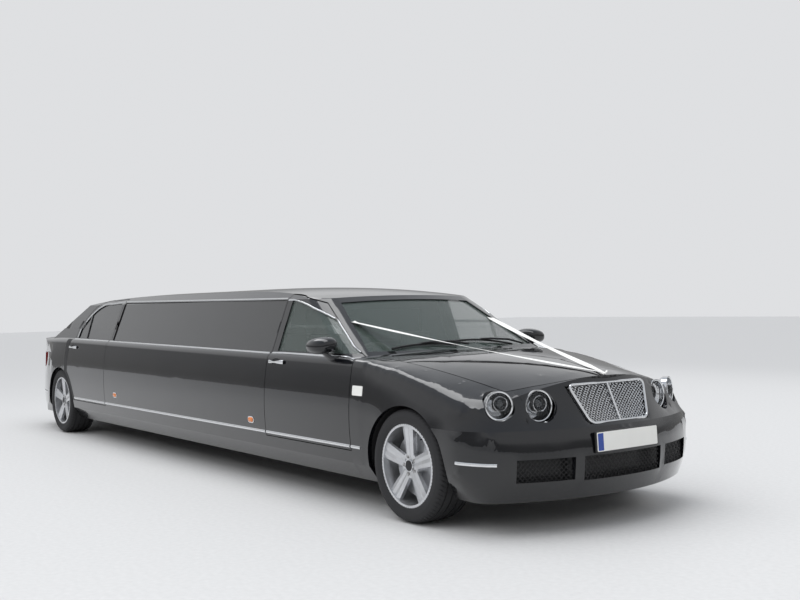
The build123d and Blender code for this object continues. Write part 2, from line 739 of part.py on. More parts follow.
rear_bulkhead = rear_posts + shelf
cowl_box = under_skin & block(FIREWALL_X - 40, FIREWALL_X + 120, -1, 640, SHELF_TOP - SHELF, SHELF_TOP)
cowl_box = cowl_box + (under_skin & block(FIREWALL_X + 100, FIREWALL_X + 120, -1, 460, SHELF_TOP - 1, 1200))
cowl = cowl + (cowl_box - shell)

# Wheels. Each is drawn about the Y axis with its outer face towards +Y.
HUB_RADIUS = 76.0
SPINDLE_RADIUS = 28.0
SPOKES = 5
BEAD_RADIUS = 250.0
BEAD_HALF = 116.0
LIP_HALF = 125.0


def about_axle(points_and_arcs):
    """A revolve about Y of an outline in (y, radius)."""
    wire = outline(lambda p: Vector(p[1], p[0], 0), *points_and_arcs)
    return Solid.revolve(Face(wire), 360, Axis.Y)


def tyre():
    half = TYRE_WIDTH / 2
    return about_axle([
        (-BEAD_HALF, BEAD_RADIUS),
        (BEAD_HALF, BEAD_RADIUS),
        (BEAD_HALF + 1, BEAD_RADIUS + 14),
        ((half, 304.0), (half - 28, TYRE_RADIUS - 8)),
        ((0.0, TYRE_RADIUS), (28 - half, TYRE_RADIUS - 8)),
        ((-half, 304.0), (-BEAD_HALF - 1, BEAD_RADIUS + 14)),
    ])


def spoke():
    """A broad spoke, standing up from the hub, that widens to the rim."""
    def section(z, half, back, front):
        points = [(-half, back), (half, back), (half, front - 8), (half * 0.45, front), (0, front - 6),
                  (-half * 0.45, front), (-half, front - 8)]
        return Wire.make_polygon([Vector(a, b, z) for a, b in points], close=True)
    return Solid.make_loft([section(50, 34, 72, 104), section(BEAD_RADIUS - 8, 52, 88, 120)], True)


def rim():
    barrel = about_axle([
        (-LIP_HALF, BEAD_RADIUS + 12),
        (-LIP_HALF, BEAD_RADIUS - 12),
        (LIP_HALF, BEAD_RADIUS - 12),
        (LIP_HALF, BEAD_RADIUS + 12),
        (BEAD_HALF + 3, BEAD_RADIUS + 12),
        (BEAD_HALF, BEAD_RADIUS),
        (-BEAD_HALF, BEAD_RADIUS),
        (-BEAD_HALF - 3, BEAD_RADIUS + 12),
    ])
    hub = about_axle([(10, SPINDLE_RADIUS + RUNNING), (60, SPINDLE_RADIUS + RUNNING), (60, 0), (106, 0), (106, 34),
                      (98, 38), (98, HUB_RADIUS), (10, HUB_RADIUS)])
    disc = about_axle([(22, HUB_RADIUS - 5), (22, 190), (46, 190), (46, HUB_RADIUS - 5)])
    shape = barrel.fuse(hub, disc)
    arm = spoke()
    for n in range(SPOKES):
        shape = shape.fuse(arm.rotate(Axis.Y, n * 360 / SPOKES))
    return as_one(shape)


# Front knuckles on vertical swivels, and the arms that carry them
SWIVEL_IN = 10.0
SWIVEL_REACH = 140.0
PIN_RADIUS = 10.0
ARM = 24.0
front_wheel_y = FRONT_TRACK / 2
rear_wheel_y = REAR_TRACK / 2
swivel_y = front_wheel_y - SWIVEL_IN
arm_low = AXLE_Z - SWIVEL_REACH - ARM
arm_high = AXLE_Z + SWIVEL_REACH


def knuckle():
    x = FRONT_AXLE_X
    upright_block = block(x - 34, x + 34, swivel_y - 26, swivel_y + 14, AXLE_Z - SWIVEL_REACH + RUNNING, AXLE_Z + SWIVEL_REACH - RUNNING)
    spindle = rod((x, swivel_y, AXLE_Z), (x, front_wheel_y + 58, AXLE_Z), SPINDLE_RADIUS)
    pin = rod((x, swivel_y, AXLE_Z - SWIVEL_REACH - 20), (x, swivel_y, AXLE_Z + SWIVEL_REACH + 20), PIN_RADIUS)
    return as_one(upright_block.fuse(spindle, pin))


def swivel_arm(inner_y, low):
    """A flat arm that narrows to a bored eye round the swivel pin."""
    x = FRONT_AXLE_X
    wire = outline(plan_view, (x - 130, inner_y), (x - 26, swivel_y), (x + 26, swivel_y), (x + 130, inner_y))
    arm = upright(wire, low, low + ARM) + rod((x, swivel_y, low), (x, swivel_y, low + ARM), 26)
    return arm - rod((x, swivel_y, low - 1), (x, swivel_y, low + ARM + 1), PIN_RADIUS + RUNNING)


beam_top = arm_low + 70
subframe = block(FRONT_AXLE_X - 110, FRONT_AXLE_X + 110, 0, 330, arm_low, beam_top)
subframe_mount = block(FRONT_AXLE_X - 50, FRONT_AXLE_X + 50, RAIL_IN - 70, RAIL_OUT, arm_low, beam_top)
subframe_post = block(FRONT_AXLE_X - 50, FRONT_AXLE_X + 50, RAIL_IN, RAIL_OUT, beam_top - 1, 420)
front_subframe = as_one(subframe + subframe_mount + subframe_post + swivel_arm(330.0, arm_low))
front_upper_arm = as_one(swivel_arm(478.0, arm_high))

# Rear suspension: a beam with two arms that end in fixed hub carriers
rear_beam_low = 300.0
rear_beam_high = 345.0
rear_beam = block(REAR_AXLE_X - 60, REAR_AXLE_X + 60, 0, rear_wheel_y - 30, rear_beam_low, rear_beam_high)
rear_carrier = block(REAR_AXLE_X - 60, REAR_AXLE_X + 60, rear_wheel_y - 60, rear_wheel_y - 5, AXLE_Z - 110, AXLE_Z + 110)
rear_spindle = rod((REAR_AXLE_X, rear_wheel_y - 30, AXLE_Z), (REAR_AXLE_X, rear_wheel_y + 58, AXLE_Z), SPINDLE_RADIUS)
rear_suspension = as_one(rear_beam + rear_carrier + rear_spindle)
beam_clear = block(REAR_AXLE_X - 62, REAR_AXLE_X + 62, -1, 660, rear_beam_low - 10, 351)
shaft_clear = block(REAR_AXLE_X, REAR_BULKHEAD_X, -1, 60, 300, 360)
rear_structure = as_one(rear_structure - beam_clear - shaft_clear)

# Engine, propeller shaft and exhaust
ENGINE_FRONT_X = FRONT_AXLE_X + 380.0
ENGINE_REAR_X = FRONT_AXLE_X - 460.0
engine = block(ENGINE_REAR_X, ENGINE_FRONT_X, -260, 260, beam_top, 800)
PROP_Z = 322.0
PROP_RADIUS = 32.0
propshaft = rod((REAR_AXLE_X + 60, 0, PROP_Z), (ENGINE_REAR_X, 0, PROP_Z), PROP_RADIUS)
PIPE_RADIUS = 30.0
PIPE_Y = 100.0
PIPE_Z = 262.0
SILENCER_Y = 460.0
pipe_end_x = REAR_AXLE_X - 370
pipe = rod((pipe_end_x, PIPE_Y, PIPE_Z), (ENGINE_REAR_X, PIPE_Y, PIPE_Z), PIPE_RADIUS)
cross_pipe = rod((pipe_end_x, PIPE_Y - 10, PIPE_Z), (pipe_end_x, SILENCER_Y, PIPE_Z), PIPE_RADIUS)
silencer = block(pipe_end_x - 560, pipe_end_x + 20, SILENCER_Y - 105, SILENCER_Y + 105, 212, 318)
tail_pipe = rod((pipe_end_x - 560, SILENCER_Y, PIPE_Z), (TAIL_X + 25, SILENCER_Y, PIPE_Z), PIPE_RADIUS + 6)
exhaust = as_one(pipe + cross_pipe + silencer + tail_pipe)
rear_bumper = rear_bumper - rod((TAIL_X - 50, SILENCER_Y, PIPE_Z), (TAIL_X + 300, SILENCER_Y, PIPE_Z), PIPE_RADIUS + 14)

# Front seats and what is in the cabin
FRONT_SEAT_Y = 430.0
SEAT_HALF = 250.0
seat_line = outline(
    side_view,
    (1760.0, FLOOR_TOP),
    (2160.0, FLOOR_TOP),
    (2180.0, 400.0),
    ((2225.0, 470.0), (2150.0, 500.0)),
    ((1950.0, 470.0), (1800.0, 478.0)),
    ((1745.0, 700.0), (1700.0, 930.0)),
    (1690.0, 1110.0),
    (1600.0, 1110.0),
    (1605.0, 930.0),
    ((1640.0, 650.0), (1700.0, 420.0)),
)
front_seat = across(seat_line, FRONT_SEAT_Y - SEAT_HALF, FRONT_SEAT_Y + SEAT_HALF)
PARTITION_X = DOOR_REAR_X - 90.0
partition = (cabin_room & block(PARTITION_X, PARTITION_X + 40, -1, 1000, 0, 1500)) - tunnel_cover
partition = partition - block(PARTITION_X - 1, PARTITION_X + 41, -1, 560, 860, 1290)
bench_line = outline(
    front_view,
    (430.0, FLOOR_TOP),
    (400.0, 400.0),
    ((430.0, 460.0), (500.0, 455.0)),
    (720.0, 440.0),
    (760.0, 800.0),
    (CABIN_FLOOR_HALF - 10, 800.0),
    (CABIN_FLOOR_HALF - 10, FLOOR_TOP),
)
side_bench = lengthwise(bench_line, REAR_DOOR_FRONT_X + 120, PARTITION_X - 250) & cabin_room
rear_bench_line = outline(
    side_view,
    (REAR_BULKHEAD_X, FLOOR_TOP),
    (-1990.0, FLOOR_TOP),
    (-1960.0, 400.0),
    ((-1950.0, 470.0), (-2020.0, 475.0)),
    (-2480.0, 440.0),
    (-2600.0, 880.0),
    (REAR_BULKHEAD_X, 880.0),
)
rear_bench = across(rear_bench_line, 0, 610) - tunnel_cover
DASH_HALF = 800.0
dash_line = outline(
    side_view,
    (FIREWALL_X - 40, 560.0),
    (FIREWALL_X - 40, 930.0),
    (2480.0, 935.0),
    ((2385.0, 900.0), (2360.0, 820.0)),
    ((2400.0, 680.0), (2470.0, 560.0)),
)
dashboard = across(dash_line, 0, DASH_HALF) & cabin_room

# Steering wheel, in front of the right-hand seat
STEER_Y = -FRONT_SEAT_Y
STEER_X = 2225.0
STEER_Z = 880.0
STEER_RAKE = 24.0
STEER_RADIUS = 182.0
steer_aim = Vector(-cos(radians(STEER_RAKE)), 0, sin(radians(STEER_RAKE)))
steer_plane = Plane((STEER_X, STEER_Y, STEER_Z), z_dir=steer_aim)
steer_ring = steer_plane.location * Solid.make_torus(STEER_RADIUS, 15)
steer_hub = Solid.make_cylinder(55, 50, steer_plane.offset(-40))
column = Solid.make_cylinder(22, 330, steer_plane.offset(-330))
steer_spokes = [
    steer_plane.location * block(-STEER_RADIUS, 0, -14, 14, -12, 6).rotate(Axis.Z, turn) for turn in (0, 90, 180)
]
steering_wheel = as_one(steer_ring.fuse(steer_hub, column, *steer_spokes))
column_bore = Solid.make_cylinder(22 + RUNNING, 400, steer_plane.offset(-360))

# Door mirrors
mirror_head = block(2430, 2548, 888, 1059, 1000, 1131)
mirror_head = mirror_head.fillet(34.0, mirror_head.edges())
mirror_stalk = block(2462, 2512, 850, 930, 940, 1030)
mirror = as_one((mirror_head + mirror_stalk) - outer)

# Rubber buffers on the rear panel, that the shut boot lid rests on
buffer_pad = (outer - under_skin) & block(TAIL_X, TAIL_X + 200, 380, 420, BUMPER_TOP + 20, BOOT_LOW_Z - RUNNING)
rear_high = as_one(rear_high + buffer_pad)

# Tail lamps in the rear wings
tail_lamp_line = outline(
    front_view,
    (640.0, 700.0),
    (640.0, 790.0),
    ((700.0, 840.0), (830.0, 838.0)),
    ((900.0, 770.0), (850.0, 690.0)),
    ((740.0, 672.0), (640.0, 700.0)),
)
tail_lamp_cut = lengthwise(tail_lamp_line, TAIL_X - 50, TAIL_X + 420)
tail_lamp = as_one(rear_high & tail_lamp_cut)
rear_high = rear_high - tail_lamp_cut

# Glass panes
front_door_glass = as_one(side_glass(front_glass_line))
rear_door_panes = side_glass(rear_glass_line) - across(grown(quarter_bar, RUNNING), 300, 1100)
rear_door = door(rear_door_line, rear_glass_line)
bar = (door_stock & across(quarter_bar, 300, 1100)) & across(grown(rear_glass_line, 4), 300, 1100)
rear_door = as_one(rear_door + bar)
front_door = door(front_door_line, front_glass_line)
for pocket in door_stops(FRONT_STOPS, RUNNING):
    front_door = front_door - pocket
for pocket in door_stops(REAR_STOPS, RUNNING):
    rear_door = rear_door - pocket
stretch_window = as_one(side_glass(stretch_glass_line))
windscreen = pane_stock & lengthwise(windscreen_line, 1500, 3200)
rear_window = pane_stock & lengthwise(rear_window_line, -4300, -2000)


def pair(name, shape):
    """A left piece and its right twin, in one sub-part."""
    save(name, shape, mirrored(shape))


def halves(name, shape):
    save(name, whole(shape))


# Root body
halves("cabin_frame", cabin_frame)
halves("cowl", cowl)
halves("firewall", firewall)
halves("floor_pan", floor_pan)
pair("sills", sills)
pair("stretch_sides", stretch_sides)
halves("rear_bulkhead", rear_bulkhead)
halves("front_structure", front_structure)
halves("rear_structure", rear_structure)
pair("front_wings", wings)
halves("front_fascia", fascia)
halves("front_bumper", front_bumper)
pair("rear_wings", rear_high)
halves("rear_bumper", rear_bumper)
save("grille", grille())
save("headlamp_bowls", *[q for row in HEADLAMPS for q in (lamp_bowl(row), mirrored(lamp_bowl(row)))])
save("headlamp_lenses", *[q for row in HEADLAMPS for q in (lamp_lens(row), mirrored(lamp_lens(row)))])
pair("tail_lamps", tail_lamp)
halves("windscreen", windscreen)
halves("rear_window", rear_window)
pair("stretch_windows", stretch_window)
halves("front_subframe", front_subframe)
pair("front_upper_arms", front_upper_arm)
halves("rear_suspension", rear_suspension)
save("engine", engine)
save("propshaft", propshaft)
pair("exhaust", exhaust)
pair("front_seats", front_seat)
halves("partition", partition)
save("side_bench", side_bench)
halves("rear_bench", rear_bench)
save("dashboard", whole(dashboard) - column_bore)

# Moving bodies
halves("bonnet", bonnet)
halves("boot_lid", boot_lid)
save("steering_wheel", steering_wheel)
for side, turn in (("left", lambda q: q), ("right", mirrored)):
    save(f"door_front_{side}", turn(front_door))
    save(f"glass_front_{side}", turn(front_door_glass))
    save(f"mirror_{side}", turn(mirror))
    save(f"door_rear_{side}", turn(rear_door))
    save(f"glass_rear_{side}", turn(rear_door_panes))
    save(f"knuckle_{side}", turn(knuckle()))
    for axle, x, y in (("front", FRONT_AXLE_X, front_wheel_y), ("rear", REAR_AXLE_X, rear_wheel_y)):
        place = Location((x, y, AXLE_Z))
        save(f"tyre_{axle}_{side}", turn(place * tyre()))
        save(f"rim_{axle}_{side}", turn(place * rim()))
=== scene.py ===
# %% [markdown]
# # A black stretch limousine
#
# The solid model gives every panel, hinge and wheel its place. This lesson gives it its looks:
# black paint, chrome, glass, leather, tyres and the trim that is too fine for the solid model.
# Everything is in metres, with +X forward, +Y to the car's left and +Z up.

import json
import math

import bmesh
import bpy
import numpy as np
from mathutils import Matrix, Vector
from mathutils.bvhtree import BVHTree
from mathutils.kdtree import KDTree


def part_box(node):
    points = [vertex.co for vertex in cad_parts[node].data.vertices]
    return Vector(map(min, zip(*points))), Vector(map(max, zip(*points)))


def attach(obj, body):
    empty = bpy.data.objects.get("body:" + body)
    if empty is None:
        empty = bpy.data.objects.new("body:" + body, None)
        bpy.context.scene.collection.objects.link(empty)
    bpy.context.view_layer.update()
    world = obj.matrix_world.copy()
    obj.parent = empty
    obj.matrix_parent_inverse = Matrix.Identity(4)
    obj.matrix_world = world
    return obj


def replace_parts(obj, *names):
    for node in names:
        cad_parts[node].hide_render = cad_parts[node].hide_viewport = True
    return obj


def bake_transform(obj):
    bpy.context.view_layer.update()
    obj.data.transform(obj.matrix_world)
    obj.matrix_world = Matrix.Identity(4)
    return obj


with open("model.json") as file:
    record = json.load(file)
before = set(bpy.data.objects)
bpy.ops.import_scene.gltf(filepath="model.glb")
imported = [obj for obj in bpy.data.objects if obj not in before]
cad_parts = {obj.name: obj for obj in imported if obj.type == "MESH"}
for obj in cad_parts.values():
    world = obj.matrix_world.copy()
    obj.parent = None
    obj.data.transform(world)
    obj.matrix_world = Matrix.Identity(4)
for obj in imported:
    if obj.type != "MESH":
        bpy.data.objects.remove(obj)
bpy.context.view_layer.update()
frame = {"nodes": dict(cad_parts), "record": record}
nodes = frame["nodes"]

# %% [markdown]
# ## Camera
#
# The camera stands where the photographer stood: ahead of the car's right corner, a little below
# eye height. Its place was solved from the wheels, the number plate and the door seams, so every
# piece can be set by what is seen and still sit on the solid model.

# %% Camera
CAMERA_PLACE = (8.286, -4.656, 1.320)
CAMERA_YAW = math.radians(143.357)
CAMERA_PITCH = math.radians(0.275)
CAMERA_ROLL = math.radians(-1.082)
FOCAL_PIXELS = 1027.4
PHOTO_WIDTH = 800.0
SENSOR_WIDTH = 36.0

forward = Vector((
    math.cos(CAMERA_PITCH) * math.cos(CAMERA_YAW),
    math.cos(CAMERA_PITCH) * math.sin(CAMERA_YAW),
    math.sin(CAMERA_PITCH),
))
level = Vector((math.sin(CAMERA_YAW), -math.cos(CAMERA_YAW), 0.0))
upward = level.cross(forward)
right = level * math.cos(CAMERA_ROLL) + upward * math.sin(CAMERA_ROLL)
top = upward * math.cos(CAMERA_ROLL) - level * math.sin(CAMERA_ROLL)
camera_data = bpy.data.cameras.new("camera")
camera_data.sensor_width = SENSOR_WIDTH
camera_data.lens = FOCAL_PIXELS * SENSOR_WIDTH / PHOTO_WIDTH
camera_data.clip_end = 200.0
camera = bpy.data.objects.new("camera", camera_data)
turn = Matrix((right, top, -forward)).transposed().to_4x4()
camera.matrix_world = Matrix.Translation(CAMERA_PLACE) @ turn
bpy.context.scene.collection.objects.link(camera)
bpy.context.scene.camera = camera
print("lens", round(camera_data.lens, 2), "mm")

# %% [markdown]
# ## Writing shaders as sums
#
# A shader is easier to read as arithmetic than as a tangle of links. `Wire` holds one output socket,
# and its operators add the Math node that does the sum. `Shader` makes any other node in one call:
# its settings first, then the values or wires of its inputs.

# %% Shader arithmetic


class Wire:
    """One socket of a node tree, with arithmetic."""

    def __init__(self, shader, socket):
        self.shader = shader
        self.socket = socket

    def math(self, operation, *others):
        node = self.shader.node("ShaderNodeMath", {"operation": operation})
        for n, value in enumerate((self,) + others):
            self.shader.feed(node.inputs[n], value)
        return Wire(self.shader, node.outputs[0])

    def __add__(self, other):
        return self.math("ADD", other)

    __radd__ = __add__

    def __mul__(self, other):
        return self.math("MULTIPLY", other)

    __rmul__ = __mul__

    def __sub__(self, other):
        return self.math("SUBTRACT", other)

    def __rsub__(self, other):
        return self * -1.0 + other

    def clamp(self, low, high):
        return self.math("MAXIMUM", low).math("MINIMUM", high)


class Shader:
    """A material and its node tree."""

    def __init__(self, name):
        self.material = bpy.data.materials.new(name)
        self.material.use_nodes = True
        self.nodes = self.material.node_tree.nodes
        self.links = self.material.node_tree.links
        self.bsdf = self.nodes["Principled BSDF"]

    def node(self, kind, settings=None, **inputs):
        made = self.nodes.new(kind)
        for key, value in (settings or {}).items():
            setattr(made, key, value)
        for key, value in inputs.items():
            self.feed(made.inputs[key.replace("_", " ")], value)
        return made

    def feed(self, socket, value):
        if isinstance(value, Wire):
            self.links.new(value.socket, socket)
        else:
            socket.default_value = value

    def place(self):
        return Wire(self, self.node("ShaderNodeTexCoord").outputs["Object"])

    def part(self, axis):
        """One coordinate of the place on the object, in metres."""
        split = self.node("ShaderNodeSeparateXYZ", None, Vector=self.place())
        return Wire(self, split.outputs[axis])

    def noise(self, scale, detail=2.0):
        made = self.node("ShaderNodeTexNoise", None, Scale=scale, Detail=detail, Vector=self.place())
        return Wire(self, made.outputs[0])

    def cells(self, scale):
        made = self.node("ShaderNodeTexVoronoi", None, Scale=scale, Vector=self.place())
        return Wire(self, made.outputs["Distance"])

    def mix(self, amount, low, high):
        made = self.node("ShaderNodeMix", {"data_type": "RGBA"})
        self.feed(made.inputs[0], amount)
        self.feed(made.inputs[6], low)
        self.feed(made.inputs[7], high)
        return Wire(self, made.outputs[2])

    def bump(self, height, distance, strength=1.0):
        made = self.node("ShaderNodeBump", None, Strength=strength, Distance=distance, Height=height)
        return Wire(self, made.outputs["Normal"])

    def set(self, **values):
        for key, value in values.items():
            self.feed(self.bsdf.inputs[key.replace("_", " ")], value)
        return self


def shade(colour, factor):
    """A colour as the shader wants it, made darker or lighter."""
    return tuple(min(1.0, c * factor) for c in colour) + (1.0,)


# %% [markdown]
# ## Finishes
#
# Black car paint is a near black base under clear lacquer. The lacquer gives the sharp reflections,
# a faint orange peel breaks them up, and road dust lifts the black a little low down on the sills.
# The other finishes follow the same idea, each with the small variation seen at arm's length.

# %% Paint, chrome and metals


def paint():
    s = Shader("black_paint")
    dust = s.noise(2.5, 6.0)
    low = ((0.55 - s.part("Z")) * 1.6).clamp(0.0, 1.0)
    film = (dust - 0.35) * 0.12 + low * dust * 0.10
    s.set(Base_Color=s.mix(film, (0.002, 0.0024, 0.004, 1), (0.10, 0.095, 0.085, 1)))
    s.set(Roughness=film * 0.6 + 0.10, Coat_Weight=1.0 - film * 1.5, Coat_Roughness=0.015)
    s.set(Specular_IOR_Level=0.25, Normal=s.bump(s.noise(90.0, 2.0), 0.0001, 0.25))
    return s.material


def chrome():
    s = Shader("chrome")
    haze = s.noise(14.0, 5.0)
    s.set(Base_Color=s.mix(haze, (0.74, 0.75, 0.77, 1), (0.88, 0.89, 0.90, 1)))
    s.set(Metallic=1.0, Roughness=haze * 0.10 + 0.05)
    return s.material


def alloy():
    s = Shader("silver_alloy")
    flake = s.noise(900.0, 2.0)
    grime = (s.noise(16.0, 5.0) - 0.45).clamp(0.0, 1.0)
    s.set(Base_Color=s.mix(grime * 0.8, shade((0.62, 0.63, 0.65), 1.0), (0.22, 0.21, 0.20, 1)))
    s.set(Metallic=0.75, Roughness=flake * 0.08 + 0.26, Coat_Weight=0.5, Coat_Roughness=0.08)
    return s.material


def metal(name, colour, rough, grain):
    s = Shader(name)
    cast = s.noise(grain, 6.0)
    s.set(Base_Color=s.mix(cast, shade(colour, 0.6), shade(colour, 1.0)), Metallic=0.9)
    s.set(Roughness=cast * 0.2 + rough, Normal=s.bump(cast, 0.0006, 0.4))
    return s.material


# %% Glass, rubber, leather and plastic


def glass(name, tint, opacity):
    s = Shader(name)
    film = s.noise(6.0, 3.0)
    s.set(Base_Color=shade(tint, 1.0), Roughness=film * 0.02, Alpha=film * 0.05 + opacity, IOR=1.5)
    s.set(Coat_Weight=1.0, Coat_Roughness=0.01)
    return s.material


def rubber(name, colour, rough):
    s = Shader(name)
    bloom = s.noise(9.0, 6.0)
    s.set(Base_Color=s.mix(bloom, shade(colour, 1.0), shade(colour, 1.8)), Roughness=bloom * 0.15 + rough)
    s.set(Normal=s.bump(s.noise(420.0, 2.0), 0.0004, 0.5))
    return s.material


def leather(name, colour):
    s = Shader(name)
    wear = s.noise(4.0, 4.0)
    s.set(Base_Color=s.mix(wear, shade(colour, 1.0), shade(colour, 1.5)), Roughness=wear * 0.15 + 0.42)
    s.set(Normal=s.bump(s.cells(260.0), 0.0008, 0.6))
    return s.material


def plastic(name, colour, rough, coat=0.0):
    s = Shader(name)
    grain = s.noise(600.0, 3.0)
    s.set(Base_Color=s.mix(s.noise(3.0, 3.0), shade(colour, 0.85), shade(colour, 1.1)), Coat_Weight=coat)
    s.set(Roughness=grain * 0.1 + rough, Normal=s.bump(grain, 0.0003, 0.4))
    return s.material


def lens(name, colour, pitch):
    """A lamp cover with moulded flutes seen as fine raised lines, with painted shade in the troughs between
    them.
    """
    s = Shader(name)
    wave = s.node("ShaderNodeTexWave", {"bands_direction": "Z"}, Scale=pitch, Vector=s.place())
    ridge_and_shade = Wire(s, wave.outputs[0])
    # painted shade: the colour is darker in the flutes' troughs and full on their crests
    s.set(Base_Color=s.mix(ridge_and_shade, shade(colour, 0.6), shade(colour, 1.0)), Roughness=ridge_and_shade * 0.1 + 0.08)
    s.set(Coat_Weight=1.0, Normal=s.bump(ridge_and_shade, 0.002, 0.6))
    return s.material


def satin(name, colour):
    """Woven ribbon, with fine threads along it."""
    s = Shader(name)
    thread = s.noise(700.0, 2.0)
    s.set(Base_Color=s.mix(thread, shade(colour, 0.9), shade(colour, 1.0)), Roughness=thread * 0.15 + 0.30)
    s.set(Sheen_Weight=0.4, Normal=s.bump(thread, 0.0002, 0.4))
    return s.material


FINISH = {
    "paint": paint(),
    "satin": satin("white_satin", (0.82, 0.82, 0.80)),
    "chrome": chrome(),
    "alloy": alloy(),
    "steel": metal("steel", (0.40, 0.39, 0.38), 0.35, 40.0),
    "iron": metal("cast_iron", (0.16, 0.15, 0.15), 0.5, 60.0),
    "structure": plastic("underbody_black", (0.018, 0.018, 0.019), 0.55),
    "tyre": rubber("tyre_rubber", (0.012, 0.012, 0.013), 0.62),
    "clear_glass": glass("clear_glass", (0.10, 0.13, 0.12), 0.30),
    "dark_glass": glass("dark_glass", (0.004, 0.005, 0.006), 0.90),
    "lamp_glass": glass("lamp_glass", (0.12, 0.125, 0.13), 0.06),
    "red_lamp": lens("red_lens", (0.40, 0.008, 0.010), 40.0),
    "leather": leather("dark_leather", (0.035, 0.032, 0.030)),
    "plastic": plastic("cabin_plastic", (0.045, 0.045, 0.048), 0.5),
    "seal": rubber("seal_rubber", (0.010, 0.010, 0.011), 0.5),
    "grating": plastic("black_grating", (0.012, 0.012, 0.013), 0.35, 0.3),
    "white": plastic("white_plate", (0.80, 0.80, 0.77), 0.35, 0.3),
    "blue": plastic("blue_band", (0.01, 0.05, 0.30), 0.35, 0.3),
    "amber": lens("amber_lens", (0.85, 0.22, 0.01), 60.0),
    "mirror": metal("mirror_silver", (0.85, 0.86, 0.88), 0.02, 2.0),
    "lens": glass("lamp_eye", (0.03, 0.034, 0.04), 0.85),
    "beige": leather("dash_leather", (0.42, 0.38, 0.31)),
}
for entry in frame["record"]["subparts"]:
    item = nodes[entry["node"]]
    item.data.materials.clear()
    finish = "beige" if entry["node"] == "dashboard" else entry["material_slot"]
    item.data.materials.append(FINISH[finish])
print("finishes", len(FINISH))

# %% [markdown]
# ## Floor and light
#
# A black car is drawn by what it reflects. Here that is a plain sky that is dim at the horizon,
# bright a little above it and softer overhead, and one wide panel over the roof. The panels at the
# sides and the soft sun light the floor and the cabin; they don't show in gloss.

# %% Helpers for pieces


def new_object(name, mesh, finish):
    """An object in the scene, with a finish from the table or a material of its own."""
    item = bpy.data.objects.new(name, mesh)
    item.data.materials.append(FINISH[finish] if isinstance(finish, str) else finish)
    bpy.context.scene.collection.objects.link(item)
    return item


SHARP_ANGLE = math.radians(38)


def piece(name, points, faces, finish, body, smooth=True):
    """A mesh piece that rides on a body, or on none when it lies across two."""
    mesh = bpy.data.meshes.new(name)
    mesh.from_pydata([tuple(p) for p in points], [], faces)
    mesh.validate()
    work = bmesh.new()
    work.from_mesh(mesh)
    bmesh.ops.recalc_face_normals(work, faces=work.faces)
    work.to_mesh(mesh)
    work.free()
    item = new_object(name, mesh, finish)
    if smooth:
        mesh.polygons.foreach_set("use_smooth", [True] * len(mesh.polygons))
        mesh.set_sharp_from_angle(angle=SHARP_ANGLE)
    if body:
        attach(item, body)
    return item


def drawn_off(work):
    """Points and faces of a bmesh, which is then let go."""
    work.verts.index_update()
    points = [v.co.copy() for v in work.verts]
    faces = [[v.index for v in f.verts] for f in work.faces]
    work.free()
    return points, faces


# %% Floor
FLOOR_REACH = 60.0


def studio_floor():
    s = Shader("studio_floor")
    s.set(Base_Color=s.mix(s.noise(30.0, 6.0), (0.50, 0.50, 0.50, 1), (0.60, 0.60, 0.60, 1)), Roughness=0.6)
    r = FLOOR_REACH
    corners = [(-r, -r, 0), (r, -r, 0), (r, r, 0), (-r, r, 0)]
    mesh = bpy.data.meshes.new("floor")
    mesh.from_pydata(corners, [], [(0, 1, 2, 3)])
    new_object("floor", mesh, s.material)


studio_floor()

# %% Lights and sky
HORIZON_GREY = (0.30, 0.30, 0.30, 1)
OVERHEAD_BLUE = (0.62, 0.66, 0.72, 1)
# how high, how bright
SKY_STEPS = ((0.10, 0.36), (0.22, 0.80), (0.40, 0.86))
SEEN_SKY = (0.92, 0.93, 0.95, 1)
SKY_STRENGTH = 0.8
SUN_STRENGTH = 2.0
SUN_SPREAD = math.radians(70)
LAMPS_ROUND_THE_CAR = [
    # name, place, aim, size, power, shows in gloss
    ("overhead", (0.0, 0.0, 7.0), (0, 0, 0), (11, 2.5), 200, True),
    ("right_side", (1.0, -10.0, 5.5), (0, 0, 0.9), (14, 1.6), 200, False),
    ("left_side", (1.0, 10.0, 5.5), (0, 0, 0.9), (14, 1.6), 160, False),
    ("front", (12.0, -2.0, 5.0), (3, 0, 0.8), (3, 2), 90, False),
]


def soft_light(name, place, aim, size, power, seen):
    data = bpy.data.lights.new(name, "AREA")
    data.shape = "RECTANGLE"
    data.size, data.size_y = size
    data.energy = power
    lamp = bpy.data.objects.new(name, data)
    lamp.location = place
    lamp.rotation_euler = (Vector(aim) - Vector(place)).to_track_quat("-Z", "Y").to_euler()
    lamp.visible_glossy = seen
    bpy.context.scene.collection.objects.link(lamp)


def sky():
    world = bpy.data.worlds.new("sky")
    bpy.context.scene.world = world
    world.use_nodes = True
    tree = world.node_tree
    coordinates = tree.nodes.new("ShaderNodeTexCoord")
    split = tree.nodes.new("ShaderNodeSeparateXYZ")
    ramp = tree.nodes.new("ShaderNodeValToRGB")
    ramp.color_ramp.elements[0].position = 0.01
    ramp.color_ramp.elements[0].color = HORIZON_GREY
    ramp.color_ramp.elements[1].position = 0.90
    ramp.color_ramp.elements[1].color = OVERHEAD_BLUE
    for height, grey in SKY_STEPS:
        ramp.color_ramp.elements.new(height).color = (grey, grey * 1.01, grey * 1.03, 1)
    seen = tree.nodes.new("ShaderNodeLightPath")
    choose = tree.nodes.new("ShaderNodeMix")
    choose.data_type = "RGBA"
    choose.inputs[7].default_value = SEEN_SKY
    tree.links.new(coordinates.outputs["Generated"], split.inputs[0])
    tree.links.new(split.outputs["Z"], ramp.inputs[0])
    tree.links.new(ramp.outputs[0], choose.inputs[6])
    tree.links.new(seen.outputs["Is Camera Ray"], choose.inputs[0])
    tree.links.new(choose.outputs[2], tree.nodes["Background"].inputs["Color"])
    tree.nodes["Background"].inputs["Strength"].default_value = SKY_STRENGTH


